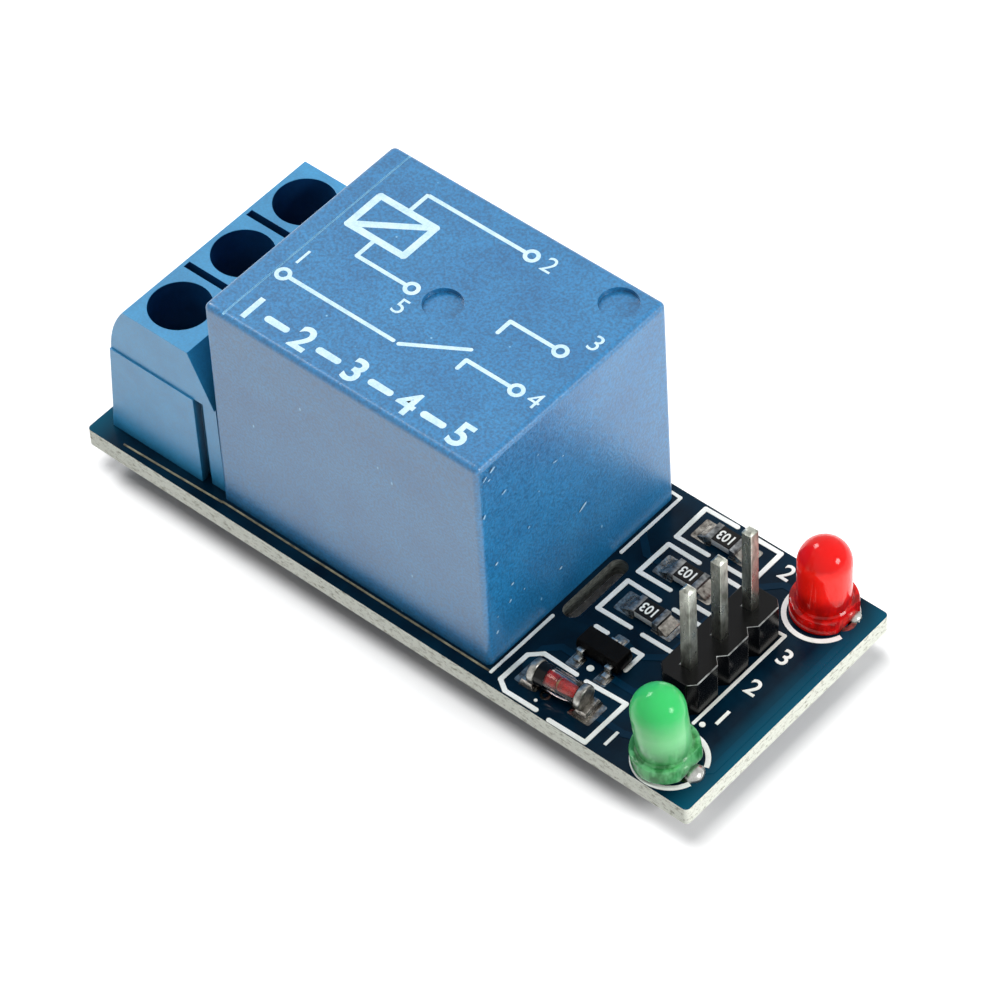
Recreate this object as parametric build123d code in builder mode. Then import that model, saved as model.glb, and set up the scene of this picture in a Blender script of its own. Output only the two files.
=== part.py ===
from build123d import *
from math import atan, cos, degrees, radians, sin, tan
import os

os.makedirs("parts", exist_ok=True)

# Single channel relay module, all sizes in millimetres.
# The origin is under the middle of the board, at the ends of the trimmed solder tails.
# +X runs along the board from the wire terminals to the pin header, +Z is up.

# Board, as long as what stands along it
board_width = 17.0
board_thickness = 1.2
board_corner_radius = 0.3
tail_length = 1.9  # every lead is trimmed this far below the board
small_round_sides = 12  # of the small holes, rivets and solder cones that repeat

# Wire terminal
pole_count = 3
pole_pitch = 5.0
terminal_inset = 1.0  # from the board's edge to the foot of the housing
terminal_shift_y = 0.05
housing_depth = 8.25
housing_height = 10.15
housing_end_relief = 0.05  # each end is this much inside the pitch line
housing_foot_height = 1.85
housing_step_height = 6.6
housing_step_inset = 0.1
housing_foot_lean = 0.2
housing_face_lean = 0.6
housing_top_front = 1.9  # from the foot to the front of the flat top
housing_top_back = 6.65  # from the foot to the back of the flat top
groove_width = 0.45
groove_depth = 3.2
groove_front = 2.15  # from the foot to where the groove starts
key_width = 0.5
key_depth = 0.45
key_setback = 1.0  # from the back of the housing to the key
key_flare = 0.12
key_spare = 0.05
strip_inset = 0.22
screw_axis_x = 4.0  # from the foot to the screw's axis
access_bore_radius = 1.8

# Metal clip inside each pole
clip_outer_width = 3.9
clip_wall = 0.5
clip_depth = 4.6
clip_bottom = 1.3  # above the board
clip_floor = 0.5
clip_wire_space = 2.8
clip_top_wall = 0.9
clip_clearance = 0.04
clip_bend_radius = 0.3
clip_pin_width = 1.0
clip_pin_thickness = 0.8
wire_window_width = 3.1
wire_window_lip = 0.35

# Clamp screw and the plate that it presses down
screw_thread_radius = 1.25
screw_pilot_radius = 0.7
screw_head_radius = 1.62
screw_head_height = 1.1
screw_head_chamfer = 0.15
screw_head_lift = 0.1  # head above the clip when tight
screw_bore_clearance = 0.06
screw_slot_width = 0.55
screw_slot_depth = 0.55
guard_thickness = 0.35
guard_clearance = 0.1
guard_depth = 3.4
guard_rest_gap = 0.1  # plate above the clip's floor when tight

# Relay cover
relay_gap = 0.15  # between the terminal and the relay
relay_length = 19.2
relay_width = 15.4
relay_height = 15.3
relay_shift_y = 0.15
cover_draft = 0.41  # degrees
cover_wall = 0.8
cover_roof = 0.9
cover_round = 0.38
recess_radius = 1.12
recess_depth = 0.3
recess_spots = [(0.39, 0.25), (7.55, 6.0)]  # from the middle of the relay
score_width = 0.12
score_depth = 0.07
score_inset = 1.45  # from the relay's end

# Relay base and terminals
seal_bottom = 0.5
seal_thickness = 0.6
base_thickness = 1.0
base_clearance = 0.05
com_inset = 1.9  # from the relay's end to the common pin
coil_pin_offset = 2.0  # from the common pin back to the coil pins
contact_inset = 3.1  # from the relay's other end to the contact pins
pin_row_half = 6.0
coil_pin_side = 0.6
coil_pin_rise = 3.0  # above the base
blade_thickness = 0.4
blade_width = 2.0
blade_pin_width = 1.0
com_thickness = 0.5
slip = 0.04  # clearance of a lead in its slot
post_height = 3.9
post_wall = 1.1

# Relay magnet
yoke_thickness = 1.2
yoke_foot_thickness = 1.0
yoke_side_relief = 0.1  # narrower than the winding, on each side
yoke_foot_reach = 2.9  # past the coil's axis
core_radius = 1.8
core_clearance = 0.05
shoe_radius = 2.9
shoe_thickness = 0.7
flange_thickness = 0.8
flange_gap = 0.1
barrel_wall = 0.65
coil_radius = 4.3
flange_margin = 0.3  # past the winding
ear_length = 1.6
ear_reach = 0.6  # past the coil pin's axis
coil_clearance = 0.03

# Relay armature and contacts
armature_thickness = 1.0
armature_side_overhang = 0.2  # past the yoke, on each side
roof_clearance = 0.95
armature_overhang = 0.6  # past the pole shoe
armature_gap = 0.02  # running gap on the yoke's edge
armature_angle = 2.0  # degrees of travel
shoe_spare = 0.04
stake_radius = 0.5
stake_height = 0.3
stake_half_pitch = 1.6
spring_thickness = 0.2
spring_half_width = 1.6
spring_tip = 1.3  # past the moving contact
spring_leg = 3.6
spring_gap = 0.02
contact_head_radius = 1.1
contact_shank_radius = 0.55
moving_head_height = 0.5
fixed_head_height = 0.4
contact_rest_gap = 0.03
contact_spare = 0.035
tongue_past_contact = 1.3
rivet_clearance = 0.02

# Slot milled through the board beside the common pin
slot_offset = 0.85  # from the relay's end to the slot's middle
slot_width = 1.1
slot_length = 4.9

# Pin header
header_pins = 3
header_pitch = 2.54
header_gap = 2.75  # past the resistors
header_shift_y = 0.2
header_block_width = 2.5
header_block_height = 2.5
header_corner = 0.45
header_pin_side = 0.64
header_pin_height = 8.57  # above the board
header_pin_tip = 0.16
header_pin_fit = 0.01

# Indicator lamps
led_offset = 1.92  # from the pin row to the lamps' axes
led_inset = 2.9  # from the board's edge to the lamp's axis
green_led_y = -6.46
red_led_y = 6.6
led_radius = 1.5
led_flange_radius = 1.9
led_flange_height = 1.0
led_barrel_top = 3.85
led_flat = 1.6  # from the axis to the flat on the flange
led_lead_side = 0.45
led_lead_pitch = 2.54
led_crank_height = 0.3
led_post_in = 0.8
led_post_low = 1.6
led_post_top = 2.7
led_cup_bottom = 1.7
led_cup_top = 2.9
led_cup_inner = -0.35
led_dish_side = 0.35
led_dish_depth = 0.15
led_die_side = 0.25
led_die_height = 0.12
green_led_lift = 0.3
red_led_lift = 0.05
green_led_tilt = 5.5  # degrees, the lamp was soldered in leaning
red_led_tilt = 0.0
led_lean_heading = -136.7  # degrees from +X

# Chip resistors
resistor_count = 3
resistor_gap = 1.98  # past the slot
resistor_first_y = 0.43
resistor_pitch = 3.25
resistor_length = 2.0
resistor_width = 1.25
resistor_thickness = 0.4
resistor_end_length = 0.38
resistor_end_wall = 0.05
resistor_coat_thickness = 0.07
solder_film = 0.06
solder_reach = 0.62
solder_rise = 0.33

# Round glass diode
diode_gap = 2.33  # from the relay to the near cap
diode_y = -6.58
diode_turn = 3.5  # degrees
diode_length = 3.5
diode_cap_length = 0.45
diode_cap_radius = 0.75
diode_glass_radius = 0.68
diode_plug_radius = 0.4
diode_plug_clearance = 0.02
diode_die_thickness = 0.16
diode_pad_reach = 0.5
diode_solder_height = 0.4
diode_solder_taper = 20

# Small transistor
transistor_gap = 2.81  # from the relay to the body
transistor_y = -3.2
transistor_length = 2.9
transistor_width = 1.3
transistor_height = 0.95
transistor_draft = 8.0  # degrees
transistor_lift = 0.1
transistor_span = 2.4  # across the feet
transistor_lead_pitch = 0.95
transistor_lead_width = 0.42
transistor_lead_thickness = 0.13
transistor_foot = 0.35
transistor_root = 0.2
transistor_pad_width = 0.65
transistor_pad_length = 0.7

# Holes and solder under the board
hole_clearance = 0.12
solder_cone_height = 1.0
solder_cone_spread = 0.24  # wider than the hole
solder_cone_narrowing = 0.2

# Levels
board_bottom = tail_length
board_top = board_bottom + board_thickness

# Places along the board
control_length = (
    slot_offset
    + slot_width / 2
    + resistor_gap
    + resistor_length
    + header_gap
    + header_block_width / 2
    + led_offset
    + led_inset
)
board_length = terminal_inset + housing_depth + relay_gap + relay_length + control_length
board_left = -board_length / 2
housing_front = board_left + terminal_inset
housing_back = housing_front + housing_depth
screw_x = housing_front + screw_axis_x
relay_left = housing_back + relay_gap
relay_x = relay_left + relay_length / 2
relay_right = relay_left + relay_length
relay_y = relay_shift_y
com_x = relay_right - com_inset
coil_pin_x = com_x - coil_pin_offset
contact_x = relay_left + contact_inset
slot_x = relay_right + slot_offset
resistor_x = slot_x + slot_width / 2 + resistor_gap + resistor_length / 2
header_x = resistor_x + resistor_length / 2 + header_gap + header_block_width / 2
led_x = header_x + led_offset
diode_x = relay_right + diode_gap + diode_length / 2
transistor_x = relay_right + transistor_gap + transistor_length / 2

pole_ys = [terminal_shift_y + (i - (pole_count - 1) / 2) * pole_pitch for i in range(pole_count)]
header_ys = [header_shift_y + (i - (header_pins - 1) / 2) * header_pitch for i in range(header_pins)]
resistor_ys = [resistor_first_y + i * resistor_pitch for i in range(resistor_count)]


def half_diagonal(width, depth):
    return (width**2 + depth**2) ** 0.5 / 2


def small_round(radius, **options):
    return RegularPolygon(radius, small_round_sides, **options)


def finish(piece, node_name):
    piece.part.label = node_name
    export_step(piece.part, f"parts/{node_name}.step")


# Each through hole is as wide as its lead, corner to corner, and a clearance
clip_hole = half_diagonal(clip_pin_width, clip_pin_thickness) + hole_clearance
blade_hole = half_diagonal(blade_pin_width, blade_thickness) + hole_clearance
com_hole = half_diagonal(blade_pin_width, com_thickness) + hole_clearance
coil_hole = half_diagonal(coil_pin_side, coil_pin_side) + hole_clearance
header_hole = half_diagonal(header_pin_side, header_pin_side) + hole_clearance
led_hole = half_diagonal(led_lead_side, led_lead_side) + hole_clearance

clip_spots = [(screw_x, y) for y in pole_ys]
blade_spots = [(contact_x, relay_y - pin_row_half), (contact_x, relay_y + pin_row_half)]
coil_spots = [(coil_pin_x, relay_y - pin_row_half), (coil_pin_x, relay_y + pin_row_half)]
header_spots = [(header_x, y) for y in header_ys]
led_spots = [
    (led_x + side * led_lead_pitch / 2, y) for y in (green_led_y, red_led_y) for side in (-1, 1)
]

with BuildPart() as circuit_board:
    with BuildSketch(Plane.XY.offset(board_bottom)):
        RectangleRounded(board_length, board_width, board_corner_radius)
        with Locations(*clip_spots):
            small_round(clip_hole, mode=Mode.SUBTRACT)
        with Locations(*blade_spots):
            small_round(blade_hole, mode=Mode.SUBTRACT)
        with Locations((com_x, relay_y)):
            small_round(com_hole, mode=Mode.SUBTRACT)
        with Locations(*coil_spots):
            small_round(coil_hole, mode=Mode.SUBTRACT)
        with Locations(*header_spots):
            small_round(header_hole, mode=Mode.SUBTRACT)
        with Locations(*led_spots):
            small_round(led_hole, mode=Mode.SUBTRACT)
        with Locations((slot_x, relay_y)):
            SlotOverall(slot_length, slot_width, rotation=90, mode=Mode.SUBTRACT)
    extrude(amount=board_thickness)
finish(circuit_board, "circuit_board")

# Wire terminal housing
housing_length = pole_count * pole_pitch - 2 * housing_end_relief
housing_end_low = terminal_shift_y - housing_length / 2
housing_end_high = terminal_shift_y + housing_length / 2
housing_top = board_top + housing_height
housing_step = board_top + housing_step_height
clip_low = board_top + clip_bottom
wire_floor = clip_low + clip_floor
clip_roof = wire_floor + clip_wire_space
clip_top = clip_roof + clip_top_wall
pocket_width = clip_outer_width + 2 * clip_clearance
pocket_depth = clip_depth + 2 * clip_clearance
clip_inner_width = clip_outer_width - 2 * clip_wall
window_middle = (wire_floor + clip_roof) / 2
window_spots = [(y, window_middle) for y in pole_ys]
groove_ys = [(low + high) / 2 for low, high in zip(pole_ys[:-1], pole_ys[1:])]
groove_start = housing_front + groove_front
key_back = housing_back - key_setback
key_front = key_back - key_width


def key_outline(face_y, heading, spare):
    """Dovetail outline on an end face: heading is the side of the face that it lies on."""
    far_y = face_y + heading * (key_depth - spare)
    with BuildSketch(Plane.XY.offset(board_top)) as outline:
        with BuildLine():
            Polyline(
                (key_front + spare, face_y),
                (key_front + spare - key_flare, far_y),
                (key_back - spare + key_flare, far_y),
                (key_back - spare, face_y),
                close=True,
            )
        make_face()
    return outline.sketch


key_slot = key_outline(housing_end_low + strip_inset, 1, 0)
key_rib = key_outline(housing_end_high, 1, key_spare)

with BuildPart() as terminal_housing:
    with BuildSketch(Plane.XZ.offset(-housing_end_high)):
        with BuildLine():
            foot = (housing_front, board_top)
            knee = (housing_front + housing_foot_lean, board_top + housing_foot_height)
            brow = (housing_front + housing_face_lean, housing_step)
            crown = (housing_front + housing_top_front, housing_top)
            Polyline(foot, knee, brow)
            TangentArc(brow, crown, tangent=(brow[0] - knee[0], brow[1] - knee[1]))
            Polyline(
                crown,
                (housing_front + housing_top_back, housing_top),
                (housing_back, housing_step),
                (housing_back, board_top),
                foot,
            )
        make_face()
    extrude(amount=housing_length)
    # The end faces step in above the parting line
    with BuildSketch(Plane.XY.offset(housing_step)):
        with Locations(
            (screw_x, housing_end_low),
            (screw_x, housing_end_high),
        ):
            Rectangle(2 * housing_depth, 2 * housing_step_inset)
    extrude(amount=housing_height, mode=Mode.SUBTRACT)
    # Screw access from the top
    with BuildSketch(Plane.XY.offset(housing_top)):
        with Locations(*clip_spots):
            Circle(access_bore_radius)
    extrude(amount=clip_top - housing_top, mode=Mode.SUBTRACT)
    # Pockets for the clips, open underneath
    with BuildSketch(Plane.XY.offset(board_top)):
        with Locations(*clip_spots):
            Rectangle(pocket_depth, pocket_width)
    extrude(amount=clip_top - board_top, mode=Mode.SUBTRACT)
    # Wire windows in the front face, each with a funnel at its mouth
    with BuildSketch(Plane.YZ.offset(housing_front)):
        with Locations(*window_spots):
            Rectangle(wire_window_width, clip_wire_space)
    extrude(amount=screw_axis_x, mode=Mode.SUBTRACT)
    funnel = housing_face_lean + wire_window_lip
    with BuildSketch(Plane.YZ.offset(housing_front)):
        with Locations(*window_spots):
            Rectangle(wire_window_width + 2 * funnel, clip_wire_space + 2 * funnel)
    extrude(amount=funnel, taper=45, mode=Mode.SUBTRACT)
    # Grooves between the poles
    with BuildSketch(Plane.XY.offset(housing_top)):
        with Locations(*[(groove_start, y) for y in groove_ys]):
            Rectangle(
                housing_back - groove_start, groove_width, align=(Align.MIN, Align.CENTER)
            )
    extrude(amount=-groove_depth, mode=Mode.SUBTRACT)
    # Dovetail that joins one block to the next: a slot on one end, a rib on the other
    with BuildSketch(Plane.XY.offset(board_top)):
        with Locations((key_front, housing_end_low)):
            Rectangle(
                housing_back - key_front, 2 * strip_inset, align=(Align.MIN, Align.CENTER)
            )
    extrude(amount=housing_step_height, mode=Mode.SUBTRACT)
    extrude(key_slot, amount=housing_step_height, mode=Mode.SUBTRACT)
    extrude(key_rib, amount=housing_step_height)
finish(terminal_housing, "terminal_housing")

# Inside each pole: a clip with its solder pin, a screw, and the plate that the screw presses down
guard_bottom = wire_floor + guard_rest_gap
guard_top = guard_bottom + guard_thickness
guard_width = clip_inner_width - 2 * guard_clearance
screw_head_bottom = clip_top + screw_head_lift
screw_travel = clip_roof - guard_top - guard_rest_gap
thread_hole_radius = screw_thread_radius + screw_bore_clearance
pilot_hole_radius = screw_pilot_radius + screw_bore_clearance
print("screw travel", round(screw_travel, 3))

for number, pole_y in enumerate(pole_ys, start=1):
    axis_spot = (screw_x, pole_y)

    with BuildPart() as terminal_clip:
        with BuildSketch(Plane.YZ.offset(screw_x - clip_depth / 2)):
            with Locations((pole_y, (clip_low + clip_top) / 2)):
                RectangleRounded(clip_outer_width, clip_top - clip_low, clip_bend_radius)
            with Locations((pole_y, window_middle)):
                Rectangle(clip_inner_width, clip_wire_space, mode=Mode.SUBTRACT)
        extrude(amount=clip_depth)
        with BuildSketch(Plane.XY.offset(clip_roof)):
            with Locations(axis_spot):
                Circle(thread_hole_radius)
        extrude(amount=clip_top_wall, mode=Mode.SUBTRACT)
        with BuildSketch(Plane.XY):
            with Locations(axis_spot):
                Rectangle(clip_pin_width, clip_pin_thickness)
        extrude(amount=clip_low)
    finish(terminal_clip, f"terminal_clip_{number}")

    with BuildPart() as terminal_guard:
        with BuildSketch(Plane.XY.offset(guard_bottom)):
            with Locations(axis_spot):
                Rectangle(guard_depth, guard_width)
                small_round(pilot_hole_radius, mode=Mode.SUBTRACT)
        extrude(amount=guard_thickness)
    finish(terminal_guard, f"terminal_guard_{number}")

    with BuildPart() as terminal_screw:
        with BuildSketch(Plane.XY.offset(guard_bottom)):
            with Locations(axis_spot):
                Circle(screw_pilot_radius)
        extrude(amount=guard_thickness)
        with BuildSketch(Plane.XY.offset(guard_top)):
            with Locations(axis_spot):
                Circle(screw_thread_radius)
        extrude(amount=screw_head_bottom - guard_top)
        with BuildSketch(Plane.XY.offset(screw_head_bottom)):
            with Locations(axis_spot):
                Circle(screw_head_radius)
        extrude(amount=screw_head_height)
        chamfer(terminal_screw.edges().group_by(Axis.Z)[-1], screw_head_chamfer)
        with BuildSketch(Plane.XY.offset(screw_head_bottom + screw_head_height)):
            with Locations(axis_spot):
                Rectangle(2 * screw_head_radius, screw_slot_width)
        extrude(amount=-screw_slot_depth, mode=Mode.SUBTRACT)
    finish(terminal_screw, f"terminal_screw_{number}")

# Relay cover, a moulded cap with a slight draft
cover_inner_length = relay_length - 2 * cover_wall
cover_inner_width = relay_width - 2 * cover_wall
relay_top = board_top + relay_height

with BuildPart() as relay_cover:
    with BuildSketch(Plane.XY.offset(board_top)):
        with Locations((relay_x, relay_y)):
            Rectangle(relay_length, relay_width)
    extrude(amount=relay_height, taper=cover_draft)
    rim = relay_cover.edges().group_by(Axis.Z)[0]
    fillet(relay_cover.edges() - rim, cover_round)
    with BuildSketch(Plane.XY.offset(board_top)):
        with Locations((relay_x, relay_y)):
            Rectangle(cover_inner_length, cover_inner_width)
    extrude(amount=relay_height - cover_roof, taper=cover_draft, mode=Mode.SUBTRACT)
    # Two gate recesses and a fine scored line across the roof
    with BuildSketch(Plane.XY.offset(relay_top)):
        with Locations(*[(relay_x + dx, relay_y + dy) for dx, dy in recess_spots]):
            Circle(recess_radius)
    extrude(amount=-recess_depth, mode=Mode.SUBTRACT)
    with BuildSketch(Plane.XY.offset(relay_top)):
        with Locations((relay_left + score_inset, relay_y)):
            Rectangle(score_width, relay_width)
    extrude(amount=-score_depth, mode=Mode.SUBTRACT)
finish(relay_cover, "relay_cover")

# Relay base, with two posts that hold the contact blades, and the resin that seals it
base_bottom = board_top + seal_bottom + seal_thickness
base_top = base_bottom + base_thickness
base_length = cover_inner_length - 2 * base_clearance
base_width = cover_inner_width - 2 * base_clearance
blade_slot = (blade_width + 2 * slip, blade_thickness + 2 * slip)
blade_pin_slot = (blade_pin_width + 2 * slip, blade_thickness + 2 * slip)
com_slot = (com_thickness + 2 * slip, blade_pin_width + 2 * slip)
coil_pin_slot = (coil_pin_side + 2 * slip, coil_pin_side + 2 * slip)
post_inner = pin_row_half - blade_thickness / 2 - post_wall
post_depth = base_width / 2 - post_inner
post_spots = [
    (contact_x, relay_y + side * (post_inner + post_depth / 2)) for side in (-1, 1)
]

with BuildPart() as relay_base:
    with BuildSketch(Plane.XY.offset(base_bottom)):
        with Locations((relay_x, relay_y)):
            Rectangle(base_length, base_width)
    extrude(amount=base_thickness)
    with BuildSketch(Plane.XY.offset(base_top)):
        with Locations(*post_spots):
            Rectangle(blade_width + 2 * post_wall, post_depth)
    extrude(amount=post_height)
    with BuildSketch(Plane.XY.offset(base_bottom)):
        with Locations(*blade_spots):
            Rectangle(*blade_slot)
        with Locations((com_x, relay_y)):
            Rectangle(*com_slot)
        with Locations(*coil_spots):
            Rectangle(*coil_pin_slot)
    extrude(amount=base_thickness + post_height, mode=Mode.SUBTRACT)
finish(relay_base, "relay_base")

with BuildPart() as relay_seal:
    with BuildSketch(Plane.XY.offset(board_top + seal_bottom)):
        with Locations((relay_x, relay_y)):
            Rectangle(base_length, base_width)
        with Locations(*blade_spots):
            Rectangle(*blade_pin_slot, mode=Mode.SUBTRACT)
        with Locations((com_x, relay_y)):
            Rectangle(*com_slot, mode=Mode.SUBTRACT)
        with Locations(*coil_spots):
            Rectangle(*coil_pin_slot, mode=Mode.SUBTRACT)
    extrude(amount=seal_thickness)
finish(relay_seal, "relay_seal")

# Levels under the roof, from the upper fixed contact down to the yoke
upper_tongue_top = relay_top - cover_roof - roof_clearance
upper_tongue_bottom = upper_tongue_top - blade_thickness
upper_head_bottom = upper_tongue_bottom - fixed_head_height
moving_high = upper_head_bottom - contact_rest_gap
spring_top = moving_high - moving_head_height
armature_top = spring_top - spring_thickness
armature_bottom = armature_top - armature_thickness
yoke_top = armature_bottom - armature_gap

# Magnet: the yoke's leg stands over the common pin, and the coil stands inside it
yoke_back = com_x + yoke_thickness / 2
yoke_face = com_x - yoke_thickness / 2
flange_length = 2 * (coil_radius + flange_margin)
coil_x = yoke_face - flange_gap - flange_length / 2
yoke_half_width = coil_radius - yoke_side_relief
armature_half_width = yoke_half_width + armature_side_overhang
shoe_far_lever = yoke_face - coil_x + shoe_radius
shoe_drop = tan(radians(armature_angle)) * shoe_far_lever
core_top = armature_bottom - shoe_drop - shoe_spare
shoe_bottom = core_top - shoe_thickness
foot_top = base_top + yoke_foot_thickness
coil_axis_spot = (coil_x, relay_y)

with BuildPart() as relay_yoke:
    with BuildSketch(Plane.XZ.offset(-relay_y - yoke_half_width)):
        with BuildLine():
            Polyline(
                (coil_x - yoke_foot_reach, base_top),
                (yoke_back, base_top),
                (yoke_back, yoke_top),
                (yoke_face, yoke_top),
                (yoke_face, foot_top),
                (coil_x - yoke_foot_reach, foot_top),
                close=True,
            )
        make_face()
    extrude(amount=2 * yoke_half_width)
    with BuildSketch(Plane.XY.offset(base_top)):
        with Locations(coil_axis_spot):
            Circle(core_radius + rivet_clearance)
    extrude(amount=yoke_foot_thickness, mode=Mode.SUBTRACT)
finish(relay_yoke, "relay_yoke")

with BuildPart() as relay_core:
    with BuildSketch(Plane.XY.offset(base_top)):
        with Locations(coil_axis_spot):
            Circle(core_radius)
    extrude(amount=shoe_bottom - base_top)
    with BuildSketch(Plane.XY.offset(shoe_bottom)):
        with Locations(coil_axis_spot):
            Circle(shoe_radius)
    extrude(amount=shoe_thickness)
finish(relay_core, "relay_core")

bore_radius = core_radius + core_clearance
barrel_radius = bore_radius + barrel_wall
ear_half_width = pin_row_half + ear_reach
winding_bottom = foot_top + flange_thickness
winding_top = shoe_bottom - flange_thickness

with BuildPart() as relay_bobbin:
    with BuildSketch(Plane.XY.offset(foot_top)):
        with Locations(coil_axis_spot):
            Rectangle(flange_length, flange_length)
        with Locations((coil_pin_x, relay_y)):
            Rectangle(ear_length, 2 * ear_half_width)
    extrude(amount=flange_thickness)
    with BuildSketch(Plane.XY.offset(winding_bottom)):
        with Locations(coil_axis_spot):
            Circle(barrel_radius)
    extrude(amount=winding_top - winding_bottom)
    with BuildSketch(Plane.XY.offset(winding_top)):
        with Locations(coil_axis_spot):
            Rectangle(flange_length, flange_length)
    extrude(amount=flange_thickness)
    with BuildSketch(Plane.XY.offset(foot_top)):
        with Locations(coil_axis_spot):
            Circle(bore_radius)
        with Locations(*coil_spots):
            Rectangle(*coil_pin_slot)
    extrude(amount=shoe_bottom - foot_top, mode=Mode.SUBTRACT)
finish(relay_bobbin, "relay_bobbin")

with BuildPart() as relay_coil:
    with BuildSketch(Plane.XY.offset(winding_bottom)):
        with Locations(coil_axis_spot):
            Circle(coil_radius)
            Circle(barrel_radius + coil_clearance, mode=Mode.SUBTRACT)
    extrude(amount=winding_top - winding_bottom)
finish(relay_coil, "relay_coil")

with BuildPart() as relay_coil_terminals:
    with BuildSketch(Plane.XY):
        with Locations(*coil_spots):
            Rectangle(coil_pin_side, coil_pin_side)
    extrude(amount=base_top + coil_pin_rise)
finish(relay_coil_terminals, "relay_coil_terminals")

with BuildPart() as relay_com_terminal:
    with BuildSketch(Plane.XY):
        with Locations((com_x, relay_y)):
            Rectangle(com_thickness, blade_pin_width)
    extrude(amount=base_top)
finish(relay_com_terminal, "relay_com_terminal")

# Armature plate, rocking on the yoke's edge, with the contact spring staked to it
armature_front = coil_x - shoe_radius - armature_overhang
stake_x = coil_x - shoe_radius / 2
stake_spots = [(stake_x, relay_y + side * stake_half_pitch / 2) for side in (-1, 1)]

with BuildPart() as relay_armature:
    with BuildSketch(Plane.XY.offset(armature_bottom)):
        with Locations((armature_front, relay_y)):
            Rectangle(
                yoke_back - armature_front,
                2 * armature_half_width,
                align=(Align.MIN, Align.CENTER),
            )
    extrude(amount=armature_thickness)
    with BuildSketch(Plane.XY.offset(armature_top)):
        with Locations(*stake_spots):
            small_round(stake_radius)
    extrude(amount=stake_height)
finish(relay_armature, "relay_armature")

spring_inner = yoke_back + spring_gap
spring_outer = spring_inner + spring_thickness

with BuildPart() as relay_contact_spring:
    with BuildSketch(Plane.XZ.offset(-relay_y - spring_half_width)):
        with BuildLine():
            Polyline(
                (contact_x - spring_tip, armature_top),
                (spring_inner, armature_top),
                (spring_inner, spring_top - spring_leg),
                (spring_outer, spring_top - spring_leg),
                (spring_outer, spring_top),
                (contact_x - spring_tip, spring_top),
                close=True,
            )
        make_face()
    extrude(amount=2 * spring_half_width)
    with BuildSketch(Plane.XY.offset(armature_top)):
        with Locations(*stake_spots):
            small_round(stake_radius + rivet_clearance)
        with Locations((contact_x, relay_y)):
            small_round(contact_shank_radius + rivet_clearance)
    extrude(amount=spring_thickness, mode=Mode.SUBTRACT)
finish(relay_contact_spring, "relay_contact_spring")

moving_low = armature_top - moving_head_height

with BuildPart() as relay_moving_contact:
    with BuildSketch(Plane.XY.offset(moving_low), Plane.XY.offset(spring_top)):
        with Locations((contact_x, relay_y)):
            Circle(contact_head_radius)
    extrude(amount=moving_head_height)
    with BuildSketch(Plane.XY.offset(armature_top)):
        with Locations((contact_x, relay_y)):
            small_round(contact_shank_radius)
    extrude(amount=spring_thickness)
finish(relay_moving_contact, "relay_moving_contact")

# Fixed contacts: one blade passes under the moving contact and one over it
contact_travel = tan(radians(armature_angle)) * (yoke_face - contact_x)
lower_head_top = moving_low - contact_travel - contact_spare
lower_tongue_top = lower_head_top - fixed_head_height
print("contact gap", round(moving_low - lower_head_top, 3))


def contact_blade(spot, tongue_top):
    """A pin, a wider upright blade and a tongue that reaches in past the moving contact."""
    inward = 1 if spot[1] < relay_y else -1
    outer_y = spot[1] - inward * blade_thickness / 2
    tongue_length = pin_row_half + blade_thickness / 2 + tongue_past_contact
    with BuildPart() as blade:
        with BuildSketch(Plane.XY):
            with Locations(spot):
                Rectangle(blade_pin_width, blade_thickness)
        extrude(amount=base_bottom)
        with BuildSketch(Plane.XY.offset(base_bottom)):
            with Locations(spot):
                Rectangle(blade_width, blade_thickness)
        extrude(amount=tongue_top - base_bottom)
        with BuildSketch(Plane.XY.offset(tongue_top)):
            with Locations((spot[0], outer_y + inward * tongue_length / 2)):
                Rectangle(blade_width, tongue_length)
        extrude(amount=-blade_thickness)
        with BuildSketch(Plane.XY.offset(tongue_top)):
            with Locations((contact_x, relay_y)):
                small_round(contact_shank_radius + rivet_clearance)
        extrude(amount=-blade_thickness, mode=Mode.SUBTRACT)
    return blade


finish(contact_blade(blade_spots[0], lower_tongue_top), "relay_no_terminal")
finish(contact_blade(blade_spots[1], upper_tongue_top), "relay_nc_terminal")

with BuildPart() as relay_fixed_contacts:
    with BuildSketch(Plane.XY.offset(lower_tongue_top), Plane.XY.offset(upper_head_bottom)):
        with Locations((contact_x, relay_y)):
            Circle(contact_head_radius)
    extrude(amount=fixed_head_height)
    with BuildSketch(
        Plane.XY.offset(lower_tongue_top - blade_thickness), Plane.XY.offset(upper_tongue_bottom)
    ):
        with Locations((contact_x, relay_y)):
            small_round(contact_shank_radius)
    extrude(amount=blade_thickness)
finish(relay_fixed_contacts, "relay_fixed_contacts")

# Pin header: a block with a waist between the poles, and three square pins
header_tip = board_top + header_pin_height
half_block = header_block_width / 2
half_pole = header_pitch / 2
pole_outline = [
    (side_x * (half_block - cut_x), side_y * (half_pole - cut_y))
    for side_x, side_y, cut_x, cut_y in (
        (1, 1, header_corner, 0),
        (-1, 1, header_corner, 0),
        (-1, 1, 0, header_corner),
        (-1, -1, 0, header_corner),
        (-1, -1, header_corner, 0),
        (1, -1, header_corner, 0),
        (1, -1, 0, header_corner),
        (1, 1, 0, header_corner),
    )
]

with BuildPart() as header_body:
    with BuildSketch(Plane.XY.offset(board_top)):
        with Locations(*header_spots):
            Polygon(*pole_outline, align=None)
        with Locations(*header_spots):
            Rectangle(
                header_pin_side + 2 * header_pin_fit,
                header_pin_side + 2 * header_pin_fit,
                mode=Mode.SUBTRACT,
            )
    extrude(amount=header_block_height)
finish(header_body, "header_body")

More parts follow.
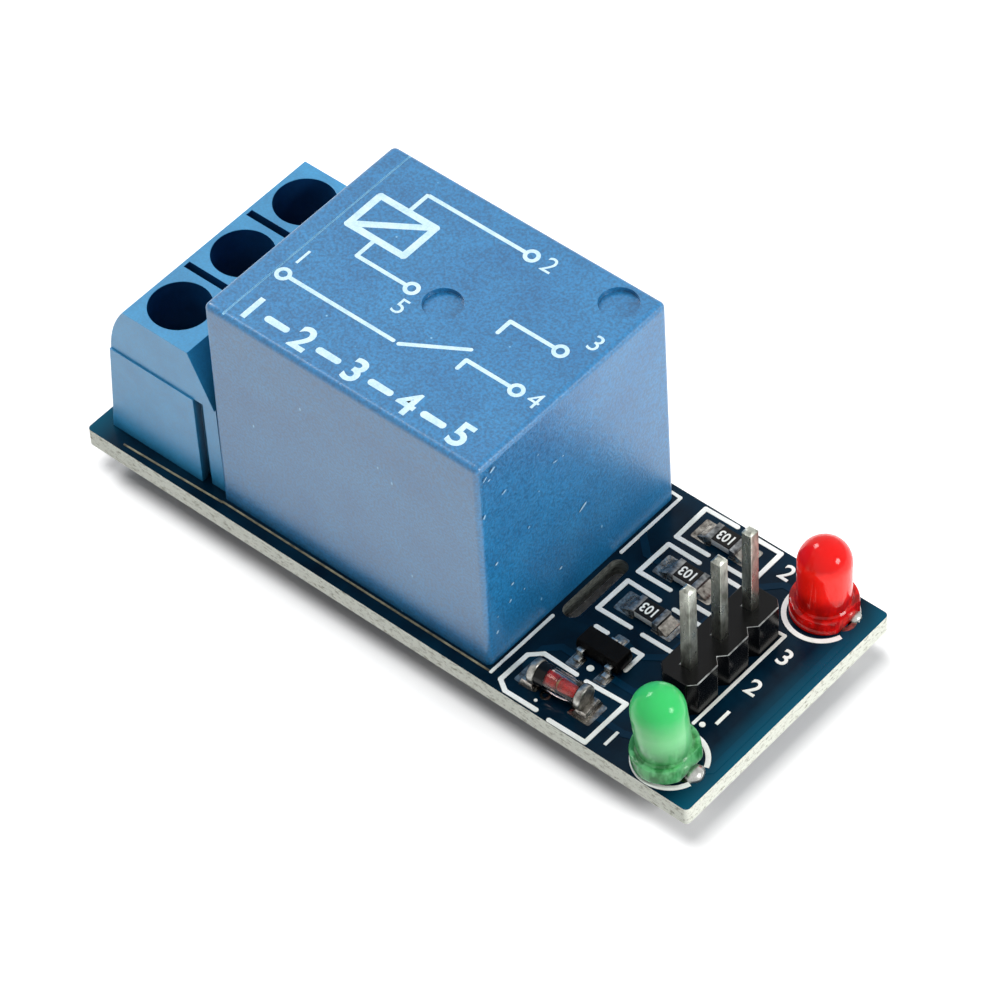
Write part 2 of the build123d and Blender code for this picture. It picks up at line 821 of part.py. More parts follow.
for number, spot in enumerate(header_spots, start=1):
    with BuildPart() as header_pin:
        with BuildSketch(Plane.XY):
            with Locations(spot):
                Rectangle(header_pin_side, header_pin_side)
        extrude(amount=header_tip)
        end_edges = header_pin.edges().group_by(Axis.Z)
        chamfer(end_edges[0] + end_edges[-1], header_pin_tip)
    finish(header_pin, f"header_pin_{number}")


# Indicator lamps: a cast lens round two cranked leads, one of which carries the chip in a cup
def lamp_plane(y, tilt):
    lean = radians(tilt)
    heading = Vector(1, 0, 0).rotate(Axis.Z, led_lean_heading)
    up = Vector(0, 0, 1) * cos(lean) + heading * sin(lean)
    return Plane(origin=(led_x, y, board_bottom + board_thickness / 2), x_dir=(1, 0, 0), z_dir=up)


def lamp_lead(plane, side, base, head_low, head_high, head_inner):
    """A lead from its trimmed tail up to a head inside the lens, cranked towards the axis."""
    outer = side * led_lead_pitch / 2
    inner = side * led_post_in
    crank_low = base + led_crank_height
    crank_high = crank_low + led_lead_side
    with BuildPart() as lead:
        with BuildSketch(plane.offset(crank_high)):
            with Locations((outer, 0)):
                Rectangle(led_lead_side, led_lead_side)
        extrude(amount=-(crank_high + 2 * board_top))
        # The tail is trimmed level with the others
        split(bisect_by=Plane.XY, keep=Keep.TOP)
        with BuildSketch(plane.offset(crank_low)):
            with Locations(((outer + inner) / 2, 0)):
                Rectangle(abs(outer - inner) + led_lead_side, led_lead_side)
        extrude(amount=led_lead_side)
        with BuildSketch(plane.offset(crank_low)):
            with Locations((inner, 0)):
                Rectangle(led_lead_side, led_lead_side)
        extrude(amount=base + head_low - crank_low)
        head_outer = inner + side * led_lead_side / 2
        with BuildSketch(plane.offset(base + head_low)):
            with Locations(((head_outer + head_inner) / 2, 0)):
                Rectangle(abs(head_outer - head_inner), led_lead_side)
        extrude(amount=head_high - head_low)
    return lead


def build_lamp(colour, y, tilt, lift):
    plane = lamp_plane(y, tilt)
    base = board_thickness / 2 + lift
    anode_inner = -led_post_in + led_lead_side / 2
    anode = lamp_lead(plane, -1, base, led_post_low, led_post_top, anode_inner)
    cathode = lamp_lead(plane, 1, base, led_cup_bottom, led_cup_top, led_cup_inner)
    dish_x = led_cup_inner + led_dish_side
    dish_floor = base + led_cup_top - led_dish_depth

    with BuildPart() as cup_lead:
        add(cathode.part)
        with BuildSketch(plane.offset(base + led_cup_top)):
            with Locations((dish_x, 0)):
                Rectangle(led_dish_side, led_dish_side)
        extrude(amount=-led_dish_depth, mode=Mode.SUBTRACT)

    with BuildPart() as die:
        with BuildSketch(plane.offset(dish_floor)):
            with Locations((dish_x, 0)):
                Rectangle(led_die_side, led_die_side)
        extrude(amount=led_die_height)

    side_plane = Plane(origin=plane.origin, x_dir=plane.x_dir, z_dir=-plane.y_dir)
    flange_top = base + led_flange_height
    dome_base = base + led_barrel_top
    with BuildPart() as lens:
        with BuildSketch(side_plane):
            with BuildLine():
                Polyline(
                    (0, dome_base + led_radius),
                    (0, base),
                    (led_flange_radius, base),
                    (led_flange_radius, flange_top),
                    (led_radius, flange_top),
                    (led_radius, dome_base),
                )
                CenterArc((0, dome_base), led_radius, 0, 90)
            make_face()
        revolve(axis=Axis(plane.origin, plane.z_dir))
        with BuildSketch(plane.offset(base)):
            with Locations((led_flat, 0)):
                Rectangle(
                    led_flange_radius, 2 * led_flange_radius, align=(Align.MIN, Align.CENTER)
                )
        extrude(amount=led_flange_height, mode=Mode.SUBTRACT)
        add(anode.part, mode=Mode.SUBTRACT)
        add(cup_lead.part, mode=Mode.SUBTRACT)
        add(die.part, mode=Mode.SUBTRACT)

    finish(lens, f"{colour}_led_lens")
    finish(anode, f"{colour}_led_anode")
    finish(cup_lead, f"{colour}_led_cathode")
    finish(die, f"{colour}_led_die")
    return [anode.part, cup_lead.part]


lamp_leads = build_lamp("green", green_led_y, green_led_tilt, green_led_lift)
lamp_leads += build_lamp("red", red_led_y, red_led_tilt, red_led_lift)

# Chip resistors: a ceramic chip, a dark coat over its top, and two wrapped metal ends
film_top = board_top + solder_film
chip_bottom = film_top + resistor_end_wall
chip_top = chip_bottom + resistor_thickness
chip_length = resistor_length - 2 * resistor_end_wall
chip_width = resistor_width - 2 * resistor_end_wall
end_height = resistor_thickness + 2 * resistor_end_wall
end_spots = [-(resistor_length - resistor_end_length) / 2, (resistor_length - resistor_end_length) / 2]

for number, resistor_y in enumerate(resistor_ys, start=1):
    with BuildPart() as resistor_chip:
        with BuildSketch(Plane.XY.offset(chip_bottom)):
            with Locations((resistor_x, resistor_y)):
                Rectangle(chip_length, chip_width)
        extrude(amount=resistor_thickness)
    finish(resistor_chip, f"resistor_{number}_chip")

    with BuildPart() as resistor_coat:
        with BuildSketch(Plane.XY.offset(chip_top)):
            with Locations((resistor_x, resistor_y)):
                Rectangle(resistor_length - 2 * resistor_end_length, chip_width)
        extrude(amount=resistor_coat_thickness)
    finish(resistor_coat, f"resistor_{number}_coat")

    with BuildPart() as resistor_ends:
        with BuildSketch(Plane.XY.offset(film_top)):
            with Locations(*[(resistor_x + dx, resistor_y) for dx in end_spots]):
                Rectangle(resistor_end_length, resistor_width)
        extrude(amount=end_height)
        with BuildSketch(Plane.XY.offset(chip_bottom)):
            with Locations((resistor_x, resistor_y)):
                Rectangle(chip_length, chip_width)
        extrude(amount=resistor_thickness, mode=Mode.SUBTRACT)
    finish(resistor_ends, f"resistor_{number}_ends")

# Round glass diode: two metal plugs grip the chip inside a glass sleeve, with a cap on each end
diode_axis_z = film_top + diode_cap_radius
diode_plane = Plane(
    origin=(diode_x, diode_y, diode_axis_z),
    x_dir=Vector(0, 1, 0).rotate(Axis.Z, diode_turn),
    z_dir=Vector(1, 0, 0).rotate(Axis.Z, diode_turn),
)
diode_glass_half = diode_length / 2 - diode_cap_length

with BuildPart() as diode_glass:
    with BuildSketch(diode_plane.offset(-diode_glass_half)):
        Circle(diode_glass_radius)
        Circle(diode_plug_radius + diode_plug_clearance, mode=Mode.SUBTRACT)
    extrude(amount=2 * diode_glass_half)
finish(diode_glass, "diode_glass")

with BuildPart() as diode_plugs:
    for side in (-1, 1):
        with BuildSketch(diode_plane.offset(side * diode_glass_half)):
            Circle(diode_plug_radius)
        extrude(amount=-side * (diode_glass_half - diode_die_thickness / 2))
finish(diode_plugs, "diode_plugs")

with BuildPart() as diode_die:
    with BuildSketch(diode_plane.offset(-diode_die_thickness / 2)):
        Rectangle(diode_plug_radius, diode_plug_radius)
    extrude(amount=diode_die_thickness)
finish(diode_die, "diode_die")

with BuildPart() as diode_caps:
    for side in (-1, 1):
        with BuildSketch(diode_plane.offset(side * diode_glass_half)):
            Circle(diode_cap_radius)
        extrude(amount=side * diode_cap_length)
finish(diode_caps, "diode_caps")

# Small transistor: three bent leads moulded into a tapered body
lead_middle = board_top + transistor_lift + transistor_height / 2
lead_reach = transistor_span / 2
lead_places = [
    (transistor_x - transistor_lead_pitch, -1),
    (transistor_x + transistor_lead_pitch, -1),
    (transistor_x, 1),
]

with BuildPart() as transistor_leads:
    for lead_x, side in lead_places:
        with BuildSketch(Plane.YZ.offset(lead_x - transistor_lead_width / 2)):
            with BuildLine():
                root = (transistor_y + side * (transistor_width / 2 - transistor_root), lead_middle)
                bend = (transistor_y + side * (lead_reach - transistor_foot), lead_middle)
                heel = (transistor_y + side * (lead_reach - transistor_foot), film_top)
                toe = (transistor_y + side * lead_reach, film_top)
                half = transistor_lead_thickness / 2
                Polyline(
                    (root[0], root[1] - half),
                    (bend[0] - side * half, bend[1] - half),
                    (heel[0] - side * half, heel[1]),
                    (toe[0], toe[1]),
                    (toe[0], toe[1] + 2 * half),
                    (heel[0] + side * half, heel[1] + 2 * half),
                    (bend[0] + side * half, bend[1] + half),
                    (root[0], root[1] + half),
                    close=True,
                )
            make_face()
        extrude(amount=transistor_lead_width)
finish(transistor_leads, "transistor_leads")

with BuildPart() as transistor_body:
    with BuildSketch(Plane.XY.offset(lead_middle)):
        with Locations((transistor_x, transistor_y)):
            Rectangle(transistor_length, transistor_width)
    extrude(amount=transistor_height / 2, taper=transistor_draft)
    with BuildSketch(Plane.XY.offset(lead_middle)):
        with Locations((transistor_x, transistor_y)):
            Rectangle(transistor_length, transistor_width)
    extrude(amount=-transistor_height / 2, taper=transistor_draft)
    add(transistor_leads.part, mode=Mode.SUBTRACT)
finish(transistor_body, "transistor_body")

# Solder on the face of the board: a film under each end with a fillet up its side
with BuildPart() as surface_solder:
    for resistor_y in resistor_ys:
        for side in (-1, 1):
            end_x = resistor_x + side * resistor_length / 2
            with BuildSketch(Plane.XZ.offset(-resistor_y - chip_width / 2)):
                with BuildLine():
                    Polyline(
                        (end_x - side * resistor_end_length, board_top),
                        (end_x + side * solder_reach, board_top),
                        (end_x + side * solder_reach, film_top),
                        (end_x, film_top + solder_rise),
                        (end_x, film_top),
                        (end_x - side * resistor_end_length, film_top),
                        close=True,
                    )
                make_face()
            extrude(amount=chip_width)
    for lead_x, side in lead_places:
        with BuildSketch(Plane.XY.offset(board_top)):
            with Locations((lead_x, transistor_y + side * lead_reach)):
                Rectangle(transistor_pad_width, transistor_pad_length)
        extrude(amount=solder_film)
finish(surface_solder, "surface_solder")

# The glass diode's solder is a saddle at each end
with BuildPart() as diode_solder:
    for side in (-1, 1):
        saddle_x = side * (diode_glass_half + (diode_cap_length + diode_pad_reach) / 2)
        saddle_plane = Plane(
            origin=(diode_x, diode_y, board_top),
            x_dir=diode_plane.z_dir,
            z_dir=(0, 0, 1),
        )
        with BuildSketch(saddle_plane):
            with Locations((saddle_x, 0)):
                Rectangle(diode_cap_length + diode_pad_reach, 2 * diode_cap_radius)
        extrude(amount=diode_solder_height, taper=diode_solder_taper)
    add(diode_caps.part, mode=Mode.SUBTRACT)
finish(diode_solder, "diode_solder")

# Solder cones under the board, each with the hole that its lead leaves
cones = [
    *[(spot, clip_hole, clip_pin_width, clip_pin_thickness) for spot in clip_spots],
    *[(spot, blade_hole, blade_pin_width, blade_thickness) for spot in blade_spots],
    ((com_x, relay_y), com_hole, com_thickness, blade_pin_width),
    *[(spot, coil_hole, coil_pin_side, coil_pin_side) for spot in coil_spots],
    *[(spot, header_hole, header_pin_side, header_pin_side) for spot in header_spots],
    *[(spot, led_hole, led_lead_side, led_lead_side) for spot in led_spots],
]
cone_taper = degrees(atan(solder_cone_narrowing / solder_cone_height))

with BuildPart() as solder_joints:
    with BuildSketch(Plane.XY.offset(board_bottom)):
        for spot, hole_radius, lead_width, lead_depth in cones:
            with Locations(spot):
                small_round(hole_radius + solder_cone_spread)
    extrude(amount=-solder_cone_height, taper=cone_taper)
    with BuildSketch(Plane.XY.offset(board_bottom)):
        for spot, hole_radius, lead_width, lead_depth in cones:
            if spot not in led_spots:
                with Locations(spot):
                    Rectangle(lead_width, lead_depth)
    extrude(amount=-solder_cone_height, mode=Mode.SUBTRACT)
    for lead in lamp_leads:
        add(lead, mode=Mode.SUBTRACT)
finish(solder_joints, "solder_joints")
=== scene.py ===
# Relay module board: finish of every surface, ink, tracks, solder and the studio
from math import cos, pi, radians, sin

import bmesh
import bpy
from mathutils import Matrix, Vector


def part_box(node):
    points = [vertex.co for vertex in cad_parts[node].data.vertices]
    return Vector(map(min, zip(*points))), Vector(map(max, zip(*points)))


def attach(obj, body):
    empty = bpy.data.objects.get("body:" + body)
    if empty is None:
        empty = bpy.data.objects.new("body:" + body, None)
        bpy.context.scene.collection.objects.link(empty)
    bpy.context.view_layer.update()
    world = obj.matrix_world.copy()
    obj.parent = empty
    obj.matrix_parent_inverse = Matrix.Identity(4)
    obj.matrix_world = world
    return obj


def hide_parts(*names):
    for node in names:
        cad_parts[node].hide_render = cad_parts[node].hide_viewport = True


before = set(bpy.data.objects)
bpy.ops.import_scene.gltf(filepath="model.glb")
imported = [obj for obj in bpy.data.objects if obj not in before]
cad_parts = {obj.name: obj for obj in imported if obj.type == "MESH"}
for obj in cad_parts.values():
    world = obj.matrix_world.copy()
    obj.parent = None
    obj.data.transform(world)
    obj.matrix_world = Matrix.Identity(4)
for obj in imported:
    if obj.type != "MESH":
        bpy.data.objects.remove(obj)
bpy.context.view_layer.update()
mm = 0.001
print("frame loaded:", len(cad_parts), "nodes")

# Levels and outlines that the new pieces stand on, read from the frame
boardLow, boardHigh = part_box("circuit_board")
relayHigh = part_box("relay_cover")[1]
boardTop, boardUnder, relayTop = boardHigh.z, boardLow.z, relayHigh.z
weld = 0.0005 * mm  # corners closer than this are joined
hair = 1e-8  # how near to a cutting plane still counts as on it


# Material helpers

def screenColour(red, green, blue):  # 0 to 255 as seen on a screen, made linear
    return tuple((v / 255 / 12.92 if v < 11 else ((v / 255 + 0.055) / 1.055) ** 2.4)
                 for v in (red, green, blue)) + (1.0,)


def addNode(tree, kind, inputs=None, **settings):
    made = tree.nodes.new(kind)
    for name, value in settings.items():
        setattr(made, name, value)
    for name, value in (inputs or {}).items():
        if isinstance(value, bpy.types.NodeSocket):
            tree.links.new(value, made.inputs[name])
        else:
            made.inputs[name].default_value = value
    return made


def startMaterial(name, look):
    material = bpy.data.materials.new(name)
    material.use_nodes = True
    tree = material.node_tree
    shader = tree.nodes["Principled BSDF"]
    for socket, value in look.items():
        shader.inputs[socket].default_value = value
    return material, tree, shader


def feed(shader, socket, value):
    shader.id_data.links.new(value, shader.inputs[socket])


def combine(tree, how, first, second=0.0):
    return addNode(tree, "ShaderNodeMath", {0: first, 1: second}, operation=how).outputs["Value"]


def shareBetween(tree, value, low, high):  # 0 at low, 1 at high
    made = addNode(tree, "ShaderNodeMapRange", {"Value": value, "From Min": low, "From Max": high})
    return made.outputs["Result"]


def pointInPiece(tree, centre=(0, 0, 0), stretch=(1, 1, 1)):
    coords = addNode(tree, "ShaderNodeTexCoord")
    shift = tuple(-c * s for c, s in zip(centre, stretch))
    mapped = addNode(tree, "ShaderNodeMapping", {
        "Vector": coords.outputs["Object"], "Location": shift, "Scale": stretch})
    return mapped.outputs["Vector"]


def cloud(tree, point, size, detail=3.0, roughness=0.55):  # size of the blotches in metres
    noise = addNode(tree, "ShaderNodeTexNoise", {
        "Vector": point, "Scale": 1 / size, "Detail": detail, "Roughness": roughness})
    return noise.outputs["Fac"]


def bands(tree, point, spacing, way, inputs=None):
    perMetre = 1 / spacing / 6.28  # the texture counts in radians
    waves = addNode(tree, "ShaderNodeTexWave", {"Vector": point, "Scale": perMetre, **(inputs or {})},
                    bands_direction=way)
    return waves.outputs["Fac"]


def ramp(tree, factor, stops):
    made = addNode(tree, "ShaderNodeValToRGB", {"Fac": factor})
    band = made.color_ramp
    while len(band.elements) < len(stops):
        band.elements.new(0.5)
    for element, (place, colour) in zip(band.elements, stops):
        element.position = place
        element.color = colour
    return made.outputs["Color"]


def blendColours(tree, factor, first, second, how="MIX"):
    mix = addNode(tree, "ShaderNodeMix", data_type="RGBA", blend_type=how)
    for index, value in ((0, factor), (6, first), (7, second)):
        if isinstance(value, bpy.types.NodeSocket):
            tree.links.new(value, mix.inputs[index])
        else:
            mix.inputs[index].default_value = value
    return mix.outputs[2]


def addBump(tree, shader, height, depth):
    bump = addNode(tree, "ShaderNodeBump", {"Height": height, "Distance": depth})
    feed(shader, "Normal", bump.outputs["Normal"])


def grey(level):
    return (level, level, level, 1.0)


def shadeCrevices(tree, colour, reach, darkest):
    # Painted shade: the colour is darkened where ambient occlusion finds surfaces near, in creases and
    # hollows
    hollow = addNode(tree, "ShaderNodeAmbientOcclusion", {"Distance": reach}, samples=6)
    depth = ramp(tree, hollow.outputs["AO"], [(0.15, darkest), (0.7, grey(1.0))])
    return blendColours(tree, 1.0, colour, depth, "MULTIPLY")


def dustOver(tree, tone, look):
    # A few pale specks, drawn out a little along the height. Speck is a share of the spacing
    cells = addNode(tree, "ShaderNodeTexVoronoi", {
        "Vector": pointInPiece(tree, stretch=(1, 1, 0.5)), "Scale": 1 / (look["spacing"] * mm)})
    speck = ramp(tree, cells.outputs["Distance"], [
        (look["speck"] * 0.6, grey(1.0)), (look["speck"], grey(0.0))])
    chosen = addNode(tree, "ShaderNodeSeparateColor", {"Color": cells.outputs["Color"]})
    shown = combine(tree, "LESS_THAN", chosen.outputs["Red"], look["share"])
    share = blendColours(tree, 1.0, speck, shown, "MULTIPLY")
    return blendColours(tree, share, tone, screenColour(*look["colour"]))


def blotchTone(tree, blotch, look):
    dark, pale = look["tones"]
    return ramp(tree, blotch, [(0.3, screenColour(*dark)), (0.7, screenColour(*pale))])


def mouldedPlastic(name, look):
    material, tree, shader = startMaterial(name, {
        "IOR": look.get("ior", 1.5), "Specular IOR Level": look.get("shine", 0.5)})
    point = pointInPiece(tree)
    blotchSize, grainSize, depth = (size * mm for size in look["grain"])
    grain = cloud(tree, point, grainSize, 2.0)
    tone = blotchTone(tree, cloud(tree, point, blotchSize), look)
    fine = ramp(tree, grain, [(0.35, grey(1 - look["mottle"])), (0.65, grey(1.0))])
    tone = blendColours(tree, 1.0, tone, fine, "MULTIPLY")
    # Painted shade in creases and hollows, reaching this far
    if "creviceShadeReach" in look:
        tone = shadeCrevices(tree, tone, look["creviceShadeReach"] * mm, grey(0.22))
    if "dust" in look:
        tone = dustOver(tree, tone, look["dust"])
    feed(shader, "Base Color", tone)
    gloss = ramp(tree, grain, [(0.2, grey(look["roughness"] - 0.05)), (0.8, grey(look["roughness"] + 0.08))])
    feed(shader, "Roughness", gloss)
    addBump(tree, shader, grain, depth)
    return material


def dullMetal(name, look):
    material, tree, shader = startMaterial(name, {"Metallic": 1.0})
    point = pointInPiece(tree, stretch=look.get("stretch", (1, 1, 1)))
    blotchSize, grainSize, depth = (size * mm for size in look["grain"])
    blotch = cloud(tree, point, blotchSize, 4.0)
    feed(shader, "Base Color", blotchTone(tree, blotch, look))
    gloss = ramp(tree, blotch, [(0.3, grey(look["roughness"] + 0.12)), (0.7, grey(look["roughness"]))])
    feed(shader, "Roughness", gloss)
    addBump(tree, shader, cloud(tree, point, grainSize, 2.0), depth)
    return material


# Shape helpers

def roundEdges(shape, edges, radius, steps):
    return bmesh.ops.bevel(shape, geom=edges, offset=radius, offset_type="OFFSET", segments=steps,
                           profile=0.5, affect="EDGES", clamp_overlap=True, material=-1)


def nodeShape(nodeName, rounding=0, steps=2, sharpFrom=30, tooThin=None):
    # The node's own mesh, joined up, with its sharp edges rounded, except where it is too thin for that
    shape = bmesh.new()
    shape.from_mesh(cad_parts[nodeName].data)
    bmesh.ops.remove_doubles(shape, verts=shape.verts, dist=weld)
    bmesh.ops.dissolve_limit(shape, angle_limit=radians(0.5), use_dissolve_boundaries=False,
                             verts=shape.verts, edges=shape.edges)
    if rounding:
        sharp = [edge for edge in shape.edges
                 if len(edge.link_faces) == 2 and edge.calc_face_angle(0) > radians(sharpFrom)
                 and not (tooThin and tooThin(edge))]
        roundEdges(shape, sharp, rounding, steps)
    return shape


def placeInScene(name, data):
    made = bpy.data.objects.new(name, data)
    bpy.context.scene.collection.objects.link(made)
    return made


def newPiece(name, shape, materials, body="board", smoothTo=40, standsFor=()):
    for face in shape.faces:
        face.smooth = True
    for edge in shape.edges:
        edge.smooth = len(edge.link_faces) == 2 and edge.calc_face_angle(0) < radians(smoothTo)
    mesh = bpy.data.meshes.new(name)
    shape.to_mesh(mesh)
    shape.free()
    for material in materials:
        mesh.materials.append(material)
    piece = placeInScene(name, mesh)
    piece.modifiers.new("evenOut", "WEIGHTED_NORMAL").keep_sharp = True
    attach(piece, body)
    if standsFor:
        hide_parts(*standsFor)


def softCopy(nodeName, pieceName, material, rounding, body="board", steps=2, smoothTo=40):
    shape = nodeShape(nodeName, rounding, steps)
    newPiece(pieceName, shape, [material], body, smoothTo, [nodeName])


def paintNode(nodeName, material):
    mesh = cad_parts[nodeName].data
    mesh.materials.clear()
    mesh.materials.append(material)


def raiseFaces(shape, faces, thickness):
    raised = bmesh.ops.extrude_face_region(shape, geom=faces, use_keep_orig=True)
    top = [item for item in raised["geom"] if isinstance(item, bmesh.types.BMVert)]
    bmesh.ops.translate(shape, verts=top, vec=(0, 0, thickness))
    return top


def addStroke(shape, start, end, width, level, thickness):
    # A line of ink or copper with round ends, lying on a level
    start, end = Vector(start), Vector(end)
    run = end - start
    made = bmesh.ops.create_circle(shape, cap_ends=True, radius=width / 2, segments=16)
    for vert in made["verts"]:
        if vert.co.x > 0:
            vert.co.x += run.length
    face = made["verts"][0].link_faces[0]
    if face.normal.z < 0:
        face.normal_flip()
    whole = list(set(made["verts"]) | set(raiseFaces(shape, [face], thickness)))
    turn = Matrix.Rotation(-Vector((1, 0)).angle_signed(run, 0) if run.length else 0, 4, "Z")
    bmesh.ops.transform(shape, verts=whole, matrix=Matrix.Translation((start.x, start.y, level)) @ turn)


def addLines(shape, lines, width, level, thickness):
    # Each stroke lies a little higher than the one before, so that no two faces share a place
    step, stepsBeforeRepeat = 0.0004 * mm, 12
    strokes = [ends for line in lines for ends in zip(line[:-1], line[1:])]
    for count, (start, end) in enumerate(strokes):
        addStroke(shape, [v * mm for v in start], [v * mm for v in end], width, level,
                  thickness + (count % stepsBeforeRepeat) * step)


def addArc(shape, centre, radius, width, startAngle, turn, level, thickness):
    # Part of a flat ring, or all of it, lying on a level
    before = set(shape.faces)
    first = Vector((cos(startAngle), sin(startAngle), 0))
    middle = Vector((centre[0], centre[1], level))
    ends = [shape.verts.new(middle + first * reach) for reach in (radius - width / 2, radius + width / 2)]
    bmesh.ops.spin(shape, geom=ends + [shape.edges.new(ends)], cent=middle, axis=(0, 0, 1), angle=turn,
                   steps=max(8, int(abs(turn) * 9)), use_merge=False)
    flat = [face for face in shape.faces if face not in before]
    bmesh.ops.recalc_face_normals(shape, faces=flat)
    if flat[0].normal.z < 0:
        bmesh.ops.reverse_faces(shape, faces=flat)
    raiseFaces(shape, flat, thickness)


def addDisc(shape, centre, radius, level, thickness):
    place = Matrix.Translation((centre[0], centre[1], level + thickness / 2))
    bmesh.ops.create_cone(shape, cap_ends=True, segments=24, radius1=radius, radius2=radius,
                          depth=thickness, matrix=place)


def addPlate(shape, centre, size, level, thickness, corner):
    made = bmesh.ops.create_cube(shape, size=1.0, matrix=Matrix.Diagonal((*size, thickness, 1)))
    upright = [edge for edge in {e for v in made["verts"] for e in v.link_edges}
               if abs(edge.verts[0].co.z - edge.verts[1].co.z) > thickness / 2]
    rounded = roundEdges(shape, upright, corner, 4)
    verts = list({v for f in rounded["faces"] for v in f.verts} | {v for v in made["verts"] if v.is_valid})
    bmesh.ops.translate(shape, verts=verts, vec=(centre[0], centre[1], level + thickness / 2))


def cutAway(shape, point, direction):
    # Takes off what lies beyond a plane, and gives the edges of the cut
    cut = bmesh.ops.bisect_plane(shape, geom=shape.verts[:] + shape.edges[:] + shape.faces[:], dist=hair,
                                 plane_co=point, plane_no=direction, clear_outer=True)
    return [item for item in cut["geom_cut"] if isinstance(item, bmesh.types.BMEdge)]


def addFigure(shape, words, size, centre, level, thickness, turn=0, squeeze=1.0, weight=0.0):
    # A plain number, drawn by the built in font and set flat on a level
    curve = bpy.data.curves.new("figure", "FONT")
    curve.body = words
    curve.size = size
    curve.align_x = "CENTER"
    curve.align_y = "CENTER"
    curve.extrude = thickness / 2
    curve.offset = size * weight
    curve.resolution_u = 4
    holder = bpy.data.objects.new("figure", curve)
    flat = bpy.data.meshes.new_from_object(holder)
    bpy.data.objects.remove(holder)
    bpy.data.curves.remove(curve)
    flat.transform(Matrix.Translation((centre[0], centre[1], level + thickness / 2))
                   @ Matrix.Rotation(turn, 4, "Z") @ Matrix.Diagonal((squeeze, 1, 1, 1)))
    shape.from_mesh(flat)
    bpy.data.meshes.remove(flat)


# Finishes: tones are the dark and the pale one, from 0 to 255 as seen on a screen. Sizes are in
# millimetres, and grain is the size of the blotches, the size of the fine grain and its depth

relayPlastic = mouldedPlastic("relayPlastic", {
    "tones": ((22, 112, 168), (34, 126, 182)), "mottle": 0.42, "ior": 1.8, "roughness": 0.34,
    "grain": (3, 0.15, 0.012), "creviceShadeReach": 1.2,
    "dust": {"spacing": 0.9, "speck": 0.08, "share": 0.22, "colour": (120, 178, 214)}})
scoredPlastic = mouldedPlastic("scoredPlastic", {
    "tones": ((120, 178, 212), (150, 202, 230)), "mottle": 0.2, "roughness": 0.5,
    "grain": (1.5, 0.13, 0.004)})
terminalPlastic = mouldedPlastic("terminalPlastic", {
    "tones": ((30, 132, 184), (44, 150, 204)), "mottle": 0.16, "ior": 1.8, "roughness": 0.38,
    "grain": (2.5, 0.12, 0.003), "creviceShadeReach": 3.4})
# A darker copy of the terminal plastic: painted shade for inside the bores and the grooves
shadedPlastic = mouldedPlastic("shadedPlastic", {
    "tones": ((12, 62, 108), (20, 84, 140)), "mottle": 0.12, "ior": 1.3, "roughness": 0.5,
    "grain": (2.5, 0.12, 0.003)})
blackPlastic = mouldedPlastic("blackPlastic", {
    "tones": ((3, 3, 4), (10, 10, 11)), "mottle": 0.3, "ior": 1.4, "shine": 0.3, "roughness": 0.18,
    "grain": (1.2, 0.1, 0.004)})
blackEpoxy = mouldedPlastic("blackEpoxy", {
    "tones": ((5, 5, 5), (14, 13, 12)), "mottle": 0.3, "ior": 1.25, "shine": 0.25, "roughness": 0.45,
    "grain": (0.8, 0.05, 0.003)})
bobbinPlastic = mouldedPlastic("bobbinPlastic", {
    "tones": ((16, 16, 18), (30, 30, 33)), "mottle": 0.2, "roughness": 0.5,
    "grain": (1.5, 0.1, 0.003)})
floorPlastic = mouldedPlastic("floorPlastic", {
    "tones": ((24, 96, 148), (34, 110, 160)), "mottle": 0.1, "roughness": 0.5,
    "grain": (2, 0.1, 0.003)})
sealResin = mouldedPlastic("sealResin", {
    "tones": ((20, 20, 24), (34, 34, 40)), "mottle": 0.1, "roughness": 0.2,
    "grain": (2.5, 0.6, 0.01)})
resistorGlaze = mouldedPlastic("resistorGlaze", {
    "tones": ((8, 7, 7), (20, 17, 15)), "mottle": 0.2, "ior": 1.3, "roughness": 0.3,
    "grain": (0.5, 0.06, 0.002)})
whiteAlumina = mouldedPlastic("whiteAlumina", {
    "tones": ((205, 204, 198), (226, 225, 220)), "mottle": 0.1, "roughness": 0.6,
    "grain": (0.5, 0.05, 0.002)})
chipCrystal = mouldedPlastic("chipCrystal", {
    "tones": ((120, 112, 70), (165, 152, 96)), "mottle": 0.1, "roughness": 0.3,
    "grain": (0.1, 0.03, 0.001)})
whiteInk = mouldedPlastic("whiteInk", {
    "tones": ((236, 240, 232), (252, 253, 250)), "mottle": 0.08, "roughness": 0.5,
    "grain": (0.8, 0.07, 0.004)})
dulledInk = mouldedPlastic("dulledInk", {
    "tones": ((60, 54, 40), (168, 160, 130)), "mottle": 0.3, "roughness": 0.6,
    "grain": (0.9, 0.2, 0.004)})
paleBlueInk = mouldedPlastic("paleBlueInk", {
    "tones": ((188, 222, 240), (214, 238, 250)), "mottle": 0.14, "roughness": 0.5,
    "grain": (0.7, 0.09, 0.003)})
paleDust = mouldedPlastic("paleDust", {
    "tones": ((120, 172, 210), (196, 226, 244)), "mottle": 0.3, "roughness": 0.6,
    "grain": (0.12, 0.05, 0.004)})
# Pale finish for the header's bevels that face up and toward +X: painted glint along those edges
paintedGlintPlastic = mouldedPlastic("paintedGlintPlastic", {
    "tones": ((14, 14, 15), (196, 200, 198)), "mottle": 0.3, "roughness": 0.3,
    "grain": (0.8, 0.08, 0.004)})

